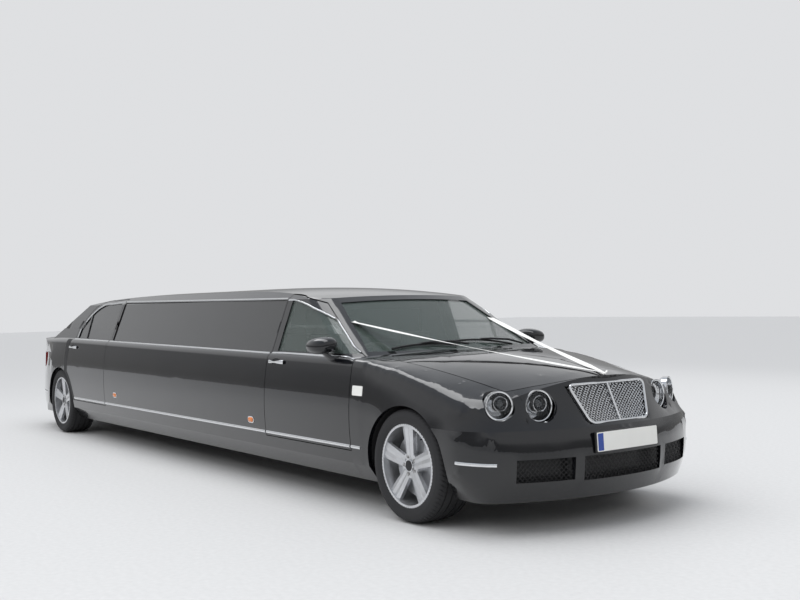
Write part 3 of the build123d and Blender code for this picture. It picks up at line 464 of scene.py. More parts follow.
def soft_sun():
    """An even light on the floor that makes no spot on gloss."""
    data = bpy.data.lights.new("sun", "SUN")
    data.energy = SUN_STRENGTH
    data.angle = SUN_SPREAD
    lamp = bpy.data.objects.new("sun", data)
    lamp.rotation_euler = (math.radians(20), math.radians(-12), 0)
    lamp.visible_glossy = False
    bpy.context.scene.collection.objects.link(lamp)


sky()
soft_sun()
for settings in LAMPS_ROUND_THE_CAR:
    soft_light(*settings)
bpy.context.scene.view_settings.view_transform = "Standard"
print("lights", len(bpy.data.lights))

# %% [markdown]
# ## Easing the creases of the nose
#
# The real nose is pressed steel and moulded plastic: its surfaces flow into each other with radii of
# a hand's breadth. The solid model builds them from lofts that meet at creases. They could be rounded
# by hand, edge by edge, but the holes for lamps and grille cut across them. Instead every point of
# the skin moves to the average plane of the skin round it, which rounds creases and leaves flat and
# gently curved places where they are. All panels take the same movement, so their gaps stay even.

# %% Panels of the nose
skins = {}
NOSE_PANELS = {"front_wings": "body", "front_fascia": "body", "front_bumper": "body", "bonnet": "bonnet"}
LONGEST = 0.034
EASE_REACH = 0.055
LARGEST_MOVE = 0.026
# nothing moves behind this x, and everything ahead of the second moves in full
EASE_START = 2.86
EASE_FULL = 3.12
WELD = 0.00002
DIVISIONS = 6
# a face that looks further down than this isn't eased
UNDERSIDE = -0.6
RAY_START = 0.0008


def divided(name):
    """A panel's mesh cut into short edges."""
    work = bmesh.new()
    work.from_mesh(nodes[name].data)
    bmesh.ops.remove_doubles(work, verts=work.verts, dist=WELD)
    bmesh.ops.triangulate(work, faces=work.faces)
    for _ in range(DIVISIONS):
        ahead = [e for e in work.edges if max(v.co.x for v in e.verts) > EASE_START]
        long_edges = [e for e in ahead if e.calc_length() > LONGEST]
        if not long_edges:
            break
        bmesh.ops.subdivide_edges(work, edges=long_edges, cuts=1, use_grid_fill=False)
        bmesh.ops.triangulate(work, faces=[f for f in work.faces if len(f.verts) > 3])
    work.normal_update()
    return work


nose = {name: divided(name) for name in NOSE_PANELS}
print("nose faces", {name: len(work.faces) for name, work in nose.items()})

# %% The skin that shows
whole_points, whole_faces = [], []
for work in nose.values():
    base = len(whole_points)
    work.verts.index_update()
    whole_points += [v.co.copy() for v in work.verts]
    whole_faces += [[base + v.index for v in f.verts] for f in work.faces]
nose_tree = BVHTree.FromPolygons(whole_points, whole_faces)
skin = []
for work in nose.values():
    for face in work.faces:
        centre = face.calc_center_median()
        if centre.x < EASE_START or face.normal.z < UNDERSIDE:
            continue
        if nose_tree.ray_cast(centre + face.normal * RAY_START, face.normal, 2.0)[0] is None:
            skin.append((centre, face.normal.copy(), face.calc_area()))
print("skin faces", len(skin))

# %% The movement of the skin
GATHERED = EASE_REACH * 2.2
FALL_OFF = 2 * (EASE_REACH / 1.6) ** 2
TURNED_AWAY = -0.2
index = KDTree(len(skin))
for n, (centre, _, _) in enumerate(skin):
    index.insert(centre, n)
index.balance()
spots = np.array([tuple(s[0]) for s in skin])
normals = np.array([tuple(s[1]) for s in skin])
areas = np.array([s[2] for s in skin]) + 1e-9
moves = np.zeros_like(spots)
for n in range(len(skin)):
    near = [found[1] for found in index.find_range(spots[n], GATHERED)]
    gap = ((spots[near] - spots[n]) ** 2).sum(axis=1)
    facing = normals[near] @ normals[n] > TURNED_AWAY
    weight = areas[near] * np.exp(-gap / FALL_OFF) * facing
    mean = (weight[:, None] * spots[near]).sum(axis=0) / weight.sum()
    normal = (weight[:, None] * normals[near]).sum(axis=0)
    normal /= np.linalg.norm(normal)
    fade = min(max((spots[n][0] - EASE_START) / (EASE_FULL - EASE_START), 0.0), 1.0)
    depth = min(max((mean - spots[n]) @ normal, -LARGEST_MOVE), LARGEST_MOVE)
    moves[n] = normal * depth * fade * fade * (3 - 2 * fade)
print("largest move", round(float(np.linalg.norm(moves, axis=1).max()) * 1000, 1), "mm")

# %% New panels
MARGIN = 0.02
SPREAD = 0.030
NEIGHBOURS = 30
CALM_ROUNDS = 26
# a point is calmed when no face round it turns further from its normal than this cosine
CALM_COSINE = 0.93
for name, work in nose.items():
    for v in work.verts:
        if v.co.x < EASE_START - MARGIN:
            continue
        found = index.find_n(v.co, NEIGHBOURS)
        near = [f[1] for f in found]
        gap = np.array([f[2] for f in found])
        weight = areas[near] * np.exp(-((gap - gap.min()) / SPREAD) ** 2)
        v.co += Vector((weight[:, None] * moves[near]).sum(axis=0) / weight.sum())
    work.normal_update()
    calm = [v for v in work.verts if v.co.x > EASE_START and len(v.link_faces) > 2
            and min(f.normal.dot(v.normal) for f in v.link_faces) > CALM_COSINE]
    axes = {"use_axis_x": True, "use_axis_y": True, "use_axis_z": True}
    for _ in range(CALM_ROUNDS):
        bmesh.ops.smooth_vert(work, verts=calm, factor=0.5, **axes)
    eased = piece(f"eased_{name}", *drawn_off(work), "paint", NOSE_PANELS[name])
    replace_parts(eased, name)
    skins[name] = eased
print("eased panels", len(skins))

# %% [markdown]
# ## Rear wings
#
# The solid rear wings have a thin fin where their upper skin turns in, between x -3.9 and -3.6. On a
# copy, every point that stands outside the wing's plan line is brought in to it.

# %% Rear wings
WING_PLAN = [(-4.10, 0.715), (-4.00, 0.763), (-3.90, 0.805), (-3.80, 0.830), (-3.70, 0.852),
             (-3.60, 0.885), (-3.50, 0.909), (-3.40, 0.924), (-3.30, 0.940)]
FIN_FOOT = 0.72
FIN_HEAD = 1.00
# the plan line is that of the wing's foot; the skin leans in by this share of its height over it
WING_FOOT = 0.60
WING_LEAN = 0.10
CLEAR = 0.003
FAR_OUT = 2.0


def wing_limit(x, z):
    """How far out the rear wing may stand here."""
    for (x0, y0), (x1, y1) in zip(WING_PLAN, WING_PLAN[1:]):
        if x0 <= x <= x1 and FIN_FOOT < z < FIN_HEAD:
            plan = y0 + (y1 - y0) * (x - x0) / (x1 - x0)
            return plan - WING_LEAN * (z - WING_FOOT) + CLEAR
    return FAR_OUT


work = bmesh.new()
work.from_mesh(nodes["rear_wings"].data)
work.transform(nodes["rear_wings"].matrix_world)
bmesh.ops.remove_doubles(work, verts=work.verts, dist=1e-5)
brought_in = 0
for v in work.verts:
    limit = wing_limit(v.co.x, v.co.z)
    if abs(v.co.y) > limit:
        v.co.y = math.copysign(limit, v.co.y)
        brought_in += 1
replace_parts(piece("eased_rear_wings", *drawn_off(work), "paint", "body"), "rear_wings")
print("rear wing points brought in", brought_in)

# %% [markdown]
# ## Finding the skin
#
# Trim sits on the body, so its place is found the way a fitter finds it: by touching the panel.
# A ray from outside stops at the skin, and gives the spot and the way the surface faces there. That
# keeps each strip, lamp and handle on the metal, whatever curve the panels have.

# %% Rays onto the panels
SIDES = (("right", -1.0), ("left", 1.0))
PAINTED = [
    entry["node"] for entry in frame["record"]["subparts"]
    if entry["material_slot"] == "paint" and not entry["node"].startswith("mirror")
]
DOORS = [f"door_{place}_{side}" for place in ("front", "rear") for side, _ in SIDES]


def touching(names):
    """A tree of these nodes' faces, or of the pieces that replace them, to send rays at."""
    points, faces = [], []
    for name in names:
        base = len(points)
        item = skins.get(name, nodes[name])
        points += [v.co.copy() for v in item.data.vertices]
        faces += [[base + n for n in p.vertices] for p in item.data.polygons]
    return BVHTree.FromPolygons(points, faces)


PANELS = touching(PAINTED)
SCREEN = touching(["windscreen"])
SIDE_GLASS = ["stretch_windows"]
SIDE_GLASS += [f"glass_{place}_{side}" for place in ("front", "rear") for side, _ in SIDES]
SIDES_WITH_GLASS = touching(PAINTED + SIDE_GLASS)


def touch(tree, start, way):
    """The first spot on a ray and the outward direction there, or None."""
    spot, normal, _, _ = tree.ray_cast(Vector(start), Vector(way))
    if spot is None:
        return None
    if normal.dot(Vector(way)) > 0:
        normal = -normal
    return spot, normal


def from_side(tree, x, z, sign):
    """Where a tree is first touched from the car's side, at x and z."""
    return touch(tree, (x, sign * FAR_OUT, z), (0.0, -sign, 0.0))


def side_spot(x, z, sign):
    return from_side(PANELS, x, z, sign)


def from_above(tree, x, y):
    """Where a tree is first touched from above, at x and y."""
    return touch(tree, (x, y, FAR_OUT), (0.0, 0.0, -1.0))


print("touched", side_spot(0.0, 0.6, -1.0)[0])

# %% [markdown]
# ## Making bars, strips and turned pieces
#
# Nearly all trim is one of three things: a bar that follows a line, a strip that lies on a panel
# with a rounded back, or a turned piece. Each has one function, so that a table of sizes makes a
# whole set.

# %% Bars, strips and turned pieces
STRIP_STEP = 0.05
STRIP_SINK = 0.002
BACK_STEPS = 6
# a ray that gets this far in has passed the side's skin
INSIDE_Y = 0.70


def arc(start, via, end, count):
    """Points on the circle through three points, in a plane view."""
    (ax, ay), (bx, by), (cx, cy) = start, via, end
    d = 2 * (ax * (by - cy) + bx * (cy - ay) + cx * (ay - by))
    a2, b2, c2 = ax ** 2 + ay ** 2, bx ** 2 + by ** 2, cx ** 2 + cy ** 2
    ox = (a2 * (by - cy) + b2 * (cy - ay) + c2 * (ay - by)) / d
    oy = (a2 * (cx - bx) + b2 * (ax - cx) + c2 * (bx - ax)) / d
    radius = math.hypot(ax - ox, ay - oy)
    first = math.atan2(ay - oy, ax - ox)
    through = (math.atan2(by - oy, bx - ox) - first) % math.tau
    last = (math.atan2(cy - oy, cx - ox) - first) % math.tau
    if through > last:
        last -= math.tau
    turns = [first + last * n / count for n in range(count + 1)]
    return [(ox + radius * math.cos(t), oy + radius * math.sin(t)) for t in turns]


def round_about(middle, side, over, wide, tall, count):
    """An oval of points about a middle, in the plane of two directions."""
    turns = [math.tau * k / count for k in range(count)]
    return [middle + side * (wide * math.cos(t)) + over * (tall * math.sin(t)) for t in turns]


def spread(points, step):
    """A line's points, with more between them so that none are further apart than the step."""
    out = [points[0]]
    for a, b in zip(points, points[1:]):
        count = max(1, math.ceil(math.dist(a, b) / step))
        out += [tuple(p + (q - p) * n / count for p, q in zip(a, b)) for n in range(1, count + 1)]
    return out


def swept(rings, closed_path=False):
    """Points and faces that join rings of the same number of points, with ends unless it closes."""
    points = [p for ring in rings for p in ring]
    size = len(rings[0])
    faces = []
    count = len(rings) if closed_path else len(rings) - 1
    for n in range(count):
        a = n * size
        b = (n + 1) % len(rings) * size
        faces += [(a + k, a + (k + 1) % size, b + (k + 1) % size, b + k) for k in range(size)]
    if not closed_path:
        faces += [tuple(range(size)), tuple(range((len(rings) - 1) * size, len(rings) * size))]
    return points, faces


def bar_rings(path, radius, sides=8, flat=1.0, up=Vector((0, 0, 1))):
    """Rings round a line. The radius may be a list, one for each point."""
    path = [Vector(p) for p in path]
    rings = []
    for n, p in enumerate(path):
        ahead = (path[min(n + 1, len(path) - 1)] - path[max(n - 1, 0)]).normalized()
        side = ahead.cross(up)
        side = side.normalized() if side.length > 0.001 else Vector((0, 1, 0))
        over = side.cross(ahead)
        r = radius[n] if isinstance(radius, list) else radius
        rings.append(round_about(p, side, over, r, r * flat, sides))
    return rings


def strip(name, spots, width, height, body):
    """A chrome strip with a rounded back that lies on the panels at these spots."""
    rings = []
    for n, (p, normal) in enumerate(spots):
        ahead = (spots[min(n + 1, len(spots) - 1)][0] - spots[max(n - 1, 0)][0]).normalized()
        side = normal.cross(ahead).normalized()
        half = width / 2
        turns = [math.pi * k / BACK_STEPS for k in range(BACK_STEPS + 1)]
        ring = [p + side * (half * math.cos(t)) + normal * (height * math.sin(t)) for t in turns]
        ring += [p - side * half - normal * STRIP_SINK, p + side * half - normal * STRIP_SINK]
        rings.append(ring)
    piece(name, *swept(rings), "chrome", body)


def side_strip(name, line, sign, width, height, body):
    """A strip along a line of (x, z) on the car's side; it goes straight over gaps in the skin."""
    spots = [from_side(SIDES_WITH_GLASS, x, z, sign) for x, z in spread(line, STRIP_STEP)]
    strip(name, [s for s in spots if s and abs(s[0].y) > INSIDE_Y], width, height, body)


def turned(profile, place, aim, sides):
    """Points and faces of a turned piece: (distance along, radius) pairs, turned about a line."""
    aim = Vector(aim).normalized()
    side = aim.orthogonal().normalized()
    over = aim.cross(side)
    place = Vector(place)
    rings = []
    for k in range(sides):
        angle = math.tau * k / sides
        spoke = side * math.cos(angle) + over * math.sin(angle)
        rings.append([place + aim * along + spoke * radius for along, radius in profile])
    points = [p for ring in rings for p in ring]
    size = len(profile)
    faces = []
    for k in range(sides):
        a = k * size
        b = (k + 1) % sides * size
        faces += [(a + n, b + n, b + n + 1, a + n + 1) for n in range(size - 1)]
    return points, faces


def joined(*parts):
    """Several points-and-faces sets as one."""
    points, faces = [], []
    for some_points, some_faces in parts:
        base = len(points)
        points += list(some_points)
        faces += [tuple(base + n for n in face) for face in some_faces]
    return points, faces


# %% [markdown]
# ## Closing the side windows
#
# Half way up, the solid model's side skin steps in and its side glass has a slot. The real glass is
# one smooth sheet, so each sheet and each pillar gets a band over that height. A band is a ruled
# surface: straight lines between the skin just below and the skin just above. Each band rides on the
# door or body that it belongs to, and stops where its sheet or pillar stops.

# %% Bands of glass and pillar
BAND_FOOT = 1.127
GLASS_HEAD = 1.190
PAINT_HEAD = 1.214
BAND_STEP = 0.004
BAND_CELL = 0.03
BAND_LIFT = 0.0006
BAND_THICK = 0.003
# a run needs more than this many spots
FEWEST_SPOTS = 3
# a spot further in than this is on the cabin's far side or its lining
SKIN_Y = 0.72
BAND_BACK = -2.95
BANDS = [
    # nodes and their bodies, height of the band's head, finish
    ({"stretch_windows": "body"}, GLASS_HEAD, "dark_glass"),
    ({f"glass_rear_{side}": f"door_rear_{side}" for side, _ in SIDES}, GLASS_HEAD, "dark_glass"),
    ({f"glass_front_{side}": f"door_front_{side}" for side, _ in SIDES}, GLASS_HEAD, "clear_glass"),
    ({door: door for door in DOORS}, PAINT_HEAD, "paint"),
    ({"cabin_frame": "body"}, PAINT_HEAD, "paint"),
]


def stretches(tree, z, sign, first, last):
    """The lengths of side at this height where the tree's skin shows, as lists of spots."""
    found, run = [], []
    for n in range(round((last - first) / BAND_STEP) + 1):
        hit = from_side(tree, first + n * BAND_STEP, z, sign)
        if hit and abs(hit[0].y) > SKIN_Y:
            run.append(hit[0])
        elif run:
            found.append(run)
            run = []
    return [r for r in found + [run] if len(r) > FEWEST_SPOTS]


def band(name, foot_run, head_run, sign, finish, body):
    """A thin sheet between a run of spots below the step and one above it."""
    count = max(2, round(abs(foot_run[-1].x - foot_run[0].x) / BAND_CELL))
    out = Vector((0, sign * BAND_LIFT, 0))
    rows = []
    for run in (foot_run, head_run):
        rows.append([run[round(n / count * (len(run) - 1))] + out for n in range(count + 1)])
    inner = [[p - Vector((0, sign * BAND_THICK, 0)) for p in row] for row in reversed(rows)]
    loops = list(zip(*rows, *inner))
    return piece(name, *swept([list(loop) for loop in loops]), finish, body)


for group, head, finish in BANDS:
    for node, body in group.items():
        tree = touching([node])
        low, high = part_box(node)
        for side, sign in SIDES:
            if node.endswith(("left", "right")) and not node.endswith(side):
                continue
            stem = f"{node}_band" if node.endswith(side) else f"{node}_band_{side}"
            ends = (max(low[0], BAND_BACK) - 0.01, high[0] + 0.01)
            feet = stretches(tree, BAND_FOOT, sign, *ends)
            heads = stretches(tree, head, sign, *ends)
            print(node, side, [(round(r[0].x, 3), round(r[-1].x, 3)) for r in feet],
                  [(round(r[0].x, 3), round(r[-1].x, 3)) for r in heads])
            for n, (foot_run, head_run) in enumerate(zip(feet, heads)):
                band(f"{stem}_{n}", foot_run, head_run, sign, finish, body)

# %% [markdown]
# ## Chrome along the windows and sills
#
# A thin bright line runs round the side windows, over their tops and along the waist, and another
# runs low down from arch to arch. Both cross doors, so each is cut at the door seams: a length on
# the front door, a length on the fixed side and a length on the rear door.

# %% Window and sill strips
FRONT_SEAM = 2.732
DOOR_BACK = 1.620
REAR_DOOR_FRONT = -1.620
# how far the strip's middle stands over the window's top
EDGE = 0.011
# width and height
WINDOW_SIZE = (0.013, 0.005)
WAIST_SIZE = (0.022, 0.006)
SILL_SIZE = (0.022, 0.007)
BUMPER_SIZE = (0.020, 0.006)


def waist(x):
    """The height of the waist line, which rises a little toward the tail."""
    return 1.006 - 0.0098 * x


def window_top(x):
    return 1.382 - 0.0056 * x


def upper_edge(node, first, last, rise):
    """Spots along the upper edge of a pane, from its front end to its back, but for its slot."""
    tree = touching([node])
    count = 60
    roof, sill, step = 1.44, 0.98, 0.002
    slot_foot, slot_head = 1.12, 1.18
    line = []
    for n in range(count + 1):
        x = first + (last - first) * n / count
        z = roof
        while z > sill and not from_side(tree, x, z, -1.0):
            z -= step
        if not slot_foot < z < slot_head:
            line.append((x, z + rise))
    return line


front_top = upper_edge("glass_front_right", 2.632, 1.700, 0.003)
front_top.append((DOOR_BACK + 0.012, front_top[-1][1]))
print("front door edge", [(round(x, 3), round(z, 3)) for x, z in front_top[::6]])
rear_top = [(REAR_DOOR_FRONT - 0.012, window_top(REAR_DOOR_FRONT) + EDGE), (-1.950, 1.385)]
rear_top += arc((-1.950, 1.385), (-2.379, 1.289), (-2.584, 1.124), 24)[1:] + [(-2.592, 1.040)]
middle_top = [(DOOR_BACK - 0.014, window_top(DOOR_BACK) + EDGE),
              (REAR_DOOR_FRONT + 0.014, window_top(REAR_DOOR_FRONT) + EDGE)]
front_waist = [(2.722, 0.968), (2.640, 0.978), (2.300, 0.981), (DOOR_BACK + 0.012, waist(DOOR_BACK) - 0.004)]
middle_waist = [(DOOR_BACK - 0.014, waist(DOOR_BACK) - 0.006),
                (REAR_DOOR_FRONT + 0.014, waist(REAR_DOOR_FRONT) - 0.006)]
rear_waist = [(REAR_DOOR_FRONT - 0.012, waist(REAR_DOOR_FRONT) - 0.006), (-2.600, 1.024)]
front_sill = [(FRONT_SEAM - 0.004, 0.409), (DOOR_BACK + 0.006, 0.408)]
SIDE_STRIPS = [
    # name, line of (x, z), size, body
    ("window_strip_front", front_top, WINDOW_SIZE, "door_front_{}"),
    ("window_strip_middle", middle_top, WINDOW_SIZE, "body"),
    ("window_strip_rear", rear_top, WINDOW_SIZE, "door_rear_{}"),
    ("waist_strip_front", front_waist, WAIST_SIZE, "door_front_{}"),
    ("waist_strip_middle", middle_waist, WAIST_SIZE, "body"),
    ("waist_strip_rear", rear_waist, WAIST_SIZE, "door_rear_{}"),
    ("sill_strip_wing", [(2.845, 0.409), (FRONT_SEAM + 0.010, 0.409)], SILL_SIZE, "body"),
    ("sill_strip_front", front_sill, SILL_SIZE, "door_front_{}"),
    ("sill_strip_middle", [(DOOR_BACK - 0.010, 0.408), (REAR_DOOR_FRONT + 0.010, 0.405)], SILL_SIZE, "body"),
    ("sill_strip_rear", [(REAR_DOOR_FRONT - 0.004, 0.405), (-2.500, 0.404)], SILL_SIZE, "door_rear_{}"),
    ("bumper_strip_front", [(3.790, 0.418), (3.900, 0.417), (4.010, 0.415)], BUMPER_SIZE, "body"),
    ("bumper_strip_rear", [(-3.400, 0.418), (-3.560, 0.418), (-3.720, 0.418)], BUMPER_SIZE, "body"),
]
for side, sign in SIDES:
    for name, line, size, body in SIDE_STRIPS:
        side_strip(f"{name}_{side}", line, sign, *size, body.format(side))
print("strips", 2 * len(SIDE_STRIPS))

# %% [markdown]
# ## Door handles, side lamps and the permit plate
#
# The handles are polished bows that stand off the door, over a shallow dark dish. The side lamps are
# small amber ovals low on the stretched side. The plate on the right wing is left blank.

# %% Handles
HANDLES = [
    # name, rear x, front x, z, body
    ("handle_front", 1.672, 1.862, 0.923, "door_front_{}"),
    ("handle_rear", -2.622, -2.432, 0.937, "door_rear_{}"),
]
HANDLE_STEPS = 18
# the bow's ends stand this far off the door, and its middle this much further
HANDLE_STAND = 0.006
HANDLE_BOW = 0.024
DISH = [(0.001, 0.0), (0.002, 0.030), (0.004, 0.037), (0.0, 0.040), (-0.004, 0.040)]
DISH_LONG = 1.9
DISH_TALL = 0.75


def handle(name, rear, front, z, sign, body):
    """A bow that is thicker at its ends, and the dish behind it."""
    path, radii = [], []
    for n in range(HANDLE_STEPS + 1):
        t = n / HANDLE_STEPS
        p, normal = side_spot(rear + (front - rear) * t, z - 0.004 * math.sin(math.pi * t), sign)
        path.append(p + normal * (HANDLE_STAND + HANDLE_BOW * math.sin(math.pi * t) ** 0.5))
        radii.append(0.0085 + 0.0035 * math.cos(math.tau * t))
    piece(name, *swept(bar_rings(path, radii, 12, 1.25)), "chrome", body)
    middle, normal = side_spot((rear + front) / 2, z, sign)
    points, faces = turned(DISH, (0, 0, 0), (0, sign, 0), 32)
    placed = [middle + Vector((p.x * DISH_LONG, p.y, p.z * DISH_TALL)) for p in points]
    piece(name + "_dish", placed, faces, "seal", body)


for side, sign in SIDES:
    for name, rear, front, z, body in HANDLES:
        handle(f"{name}_{side}", rear, front, z, sign, body.format(side))

# %% Side lamps and permit plate
LENGTHWISE = (1, 0, 0)
CROSSWISE = (0, 1, 0)
# width, height, thickness, corner radius
LAMP_BASE = (0.088, 0.050, 0.005, 0.022)
LAMP_LENS = (0.072, 0.036, 0.005, 0.016)
PERMIT_SIZE = (0.112, 0.064, 0.003, 0.008)


def raised_plate(name, spot, normal, along, width, height, thick, corner, finish, body, crown=0.0):
    """A plate with rounded corners and a soft edge that stands on a surface."""
    normal = Vector(normal).normalized()
    along = (Vector(along) - normal * Vector(along).dot(normal)).normalized()
    over = normal.cross(along)
    loops = []
    levels = [(0.0, -0.004), (0.0, thick * 0.5), (thick * 0.4, thick)]
    levels.append((min(width, height) * 0.3, thick + crown))
    for inset, rise in levels:
        ring = []
        for cx, cy, first in ((1, 1, 0), (-1, 1, 90), (-1, -1, 180), (1, -1, 270)):
            for k in range(7):
                angle = math.radians(first + 15 * k)
                r = max(corner - inset, 0.0005)
                a = cx * (width / 2 - inset - r) + r * math.cos(angle)
                b = cy * (height / 2 - inset - r) + r * math.sin(angle)
                ring.append(spot + along * a + over * b + normal * rise)
        loops.append(ring)
    return piece(name, *swept(loops), finish, body)


for side, sign in SIDES:
    for name, x, z in (("side_lamp_rear", -1.333, 0.502), ("side_lamp_front", 1.402, 0.480)):
        spot, normal = side_spot(x, z, sign)
        lifted = spot + normal * 0.004
        raised_plate(f"{name}_{side}_base", spot, normal, LENGTHWISE, *LAMP_BASE, "chrome", "body")
        raised_plate(f"{name}_{side}", lifted, normal, LENGTHWISE, *LAMP_LENS, "amber", "body", 0.003)
spot, normal = side_spot(2.823, 0.774, -1.0)
raised_plate("permit_plate", spot, normal, LENGTHWISE, *PERMIT_SIZE, "white", "body")

# %% [markdown]
# ## Number plates
#
# The plates are 520 by 110 mm and stay blank. The front one has a coloured band at the end nearest
# the camera, and stands on a dark holder that fills the curve of the bumper behind it. The rear one
# comes with the tail.

# %% Front number plate
PLATE_LEAN = 0.05
PLATE_MIDDLE = Vector((4.2419 - 0.055 * PLATE_LEAN, 0, 0.5135))
# width, height, thickness, corner radius
HOLDER_SIZE = (0.535, 0.125, 0.009, 0.012)
PLATE_SIZE = (0.520, 0.110, 0.0020, 0.008)
COLOUR_BAND = (0.046, 0.100, 0.0010, 0.004)
plate_aim = Vector((1.0, 0, PLATE_LEAN)).normalized()
holder_at = PLATE_MIDDLE - plate_aim * 0.010
band_at = PLATE_MIDDLE + Vector((0, -0.232, 0)) + plate_aim * 0.0014
raised_plate("front_plate_holder", holder_at, plate_aim, CROSSWISE, *HOLDER_SIZE, "grating", "body")
raised_plate("front_plate", PLATE_MIDDLE, plate_aim, CROSSWISE, *PLATE_SIZE, "white", "body")
raised_plate("front_plate_band", band_at, plate_aim, CROSSWISE, *COLOUR_BAND, "blue", "body")

# %% [markdown]
# ## Grille and intakes
#
# The grille is the hardest piece of the front: a woven net of bright wires, each passing over and
# under the ones that cross it, held in a surround of round bar with one more down the middle. A texture
# would lie flat, so every wire is modelled: its line is straight in the net's plane and waves gently
# through it. The dark intakes below are the same net in black, with a wider mesh.

# %% A woven net
WIRE_SIDES = 5
SHORTEST_WIRE = 0.004


def net(name, corners, pitch, radius, wave, finish, body):
    """A net of crossing wires over four corners: foot left, foot right, head right, head left."""
    a, b, c, d = (Vector(p) for p in corners)
    width = ((b - a).length + (c - d).length) / 2
    height = ((d - a).length + (c - b).length) / 2
    normal = (b - a).cross(d - a).normalized()

    def at(u, v, lift):
        """The place u along and v up the net, lifted out of its plane."""
        return a.lerp(b, u / width).lerp(d.lerp(c, u / width), v / height) + normal * lift

    wires = []
    for lean in (1, -1):
        first = -math.ceil(height / pitch) if lean > 0 else 0
        last = math.ceil(width / pitch) if lean > 0 else math.ceil((width + height) / pitch)
        for n in range(first, last + 1):
            foot = n * pitch
            ends = []
            for v in (0.0, height):
                u = foot + lean * v
                clipped = min(max(u, 0.0), width)
                ends.append((clipped, v + (clipped - u) * lean))
            (u0, v0), (u1, v1) = ends
            if v1 - v0 < SHORTEST_WIRE or not -0.0001 <= v0 <= height or not -0.0001 <= v1 <= height + 0.0001:
                continue
            count = max(2, math.ceil((v1 - v0) / pitch * 4))
            path = []
            for k in range(count + 1):
                t = k / count
                u, v = u0 + (u1 - u0) * t, v0 + (v1 - v0) * t
                phase = math.pi * (v / pitch * 2 + n)
                path.append(at(u, v, lean * wave * math.cos(phase)))
            wires.append(swept(bar_rings(path, radius, WIRE_SIDES, up=normal)))
    return piece(name, *joined(*wires), finish, body)


# %% The grille
FOOT = Vector((4.183, 0.0, 0.616))
HEAD = Vector((4.079, 0.0, 0.836))
FOOT_HALF = 0.248
HEAD_HALF = 0.332
RIBS = 9
CORNER_STEPS = 8
grille_up = (HEAD - FOOT).normalized()
grille_out = Vector((grille_up.z, 0.0, -grille_up.x))


def grille_point(y, share, depth):
    """A place across the grille, at a share of its height and a depth off its plane."""
    return FOOT.lerp(HEAD, share) + Vector((0, y, 0)) + grille_out * depth


def grille_corners(in_foot, in_head, low, high, depth):
    """Four corners, drawn in from the grille's ends and between two shares of its height."""
    return [grille_point(-FOOT_HALF + in_foot, low, depth), grille_point(FOOT_HALF - in_foot, low, depth),
            grille_point(HEAD_HALF - in_head, high, depth), grille_point(-HEAD_HALF + in_head, high, depth)]


net_corners = grille_corners(0.010, 0.012, 0.03, 0.97, -0.012)
mesh_net = net("grille_net", net_corners, 0.0260, 0.0026, 0.0032, "chrome", "body")
print("grille net faces", len(mesh_net.data.polygons))


def rounded_frame(half_foot, half_head, radius):
    """The surround's centre line with rounded corners, in (y, share of height)."""
    height = (HEAD - FOOT).length
    corners = [(-half_foot, 0.0), (half_foot, 0.0), (half_head, height), (-half_head, height)]
    line = []
    for n, corner in enumerate(corners):
        here = Vector(corner)
        before = (Vector(corners[n - 1]) - here).normalized() * radius
        after = (Vector(corners[(n + 1) % 4]) - here).normalized() * radius
        for k in range(CORNER_STEPS + 1):
            t = k / CORNER_STEPS
            p = (here + before) * (1 - t) ** 2 + here * (2 * t * (1 - t)) + (here + after) * t ** 2
            line.append((p.x, p.y / height))
    return line


outline = rounded_frame(FOOT_HALF - 0.004, HEAD_HALF - 0.005, 0.045)
frame_line = [grille_point(y, share, 0.0) for y, share in outline]
surround_rings = bar_rings(frame_line + frame_line[:2], 0.008, 10, up=grille_out)[1:-1]
surround = piece("grille_surround", *swept(surround_rings, closed_path=True), "chrome", "body")
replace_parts(surround, "grille")
bar_path = [grille_point(0.0, share, 0.003) for share in (0.01, 0.5, 0.99)]
piece("grille_bar", *swept(bar_rings(bar_path, 0.0065, 10, up=grille_out)), "chrome", "body")
back = grille_corners(0.0, 0.0, 0.0, 1.0, -0.045)
back_deep = [p - grille_out * 0.01 for p in back]
ribs = []
for n in range(RIBS):
    share = (n + 0.5) / RIBS
    half = FOOT_HALF + (HEAD_HALF - FOOT_HALF) * share - 0.006
    ends = [grille_point(-half, share, -0.042), grille_point(half, share, -0.042)]
    ribs.append(swept(bar_rings(ends, 0.004, 6, up=grille_out)))
piece("grille_screen", *joined(swept([back, back_deep]), *ribs), "grating", "body", smooth=False)

# %% Lower intakes


def intake(place, mouth, behind):
    """A net over the mouth and a dark sheet behind it."""
    net(f"intake_net_{place}", mouth, 0.030, 0.0030, 0.003, "grating", "body")
    sheet = [Vector(p) for p in behind]
    deeper = [p - Vector((0.01, 0, 0)) for p in sheet]
    piece(f"intake_back_{place}", *swept([sheet, deeper]), "grating", "body", smooth=False)


def upright(near, far, foot, head):
    """Four corners over two plan points (x, y), from a foot height to a head height."""
    return [(*near, foot), (*far, foot), (*far, head), (*near, head)]


for side, sign in SIDES:
    mouth = upright((4.165, 0.385 * sign), (4.040, 0.735 * sign), 0.306, 0.444)
    behind = upright((4.100, 0.330 * sign), (3.930, 0.810 * sign), 0.240, 0.500)
    intake(side, mouth, behind)
mouth = upright((4.185, -0.335), (4.185, 0.335), 0.296, 0.444)
behind = upright((4.120, -0.390), (4.120, 0.390), 0.240, 0.500)
intake("middle", mouth, behind)
print("nets done")

# %% [markdown]
# ## Headlamps
#
# Four round lamps, the outer pair smaller and set further back round the corner. The CAD bowl and
# clear cover are the true shapes; inside each goes what makes a lamp read as a lamp: a bright ring at
# the mouth, steps in the bowl, and a projector with a dark barrel, a bright hoop and a glass eye.

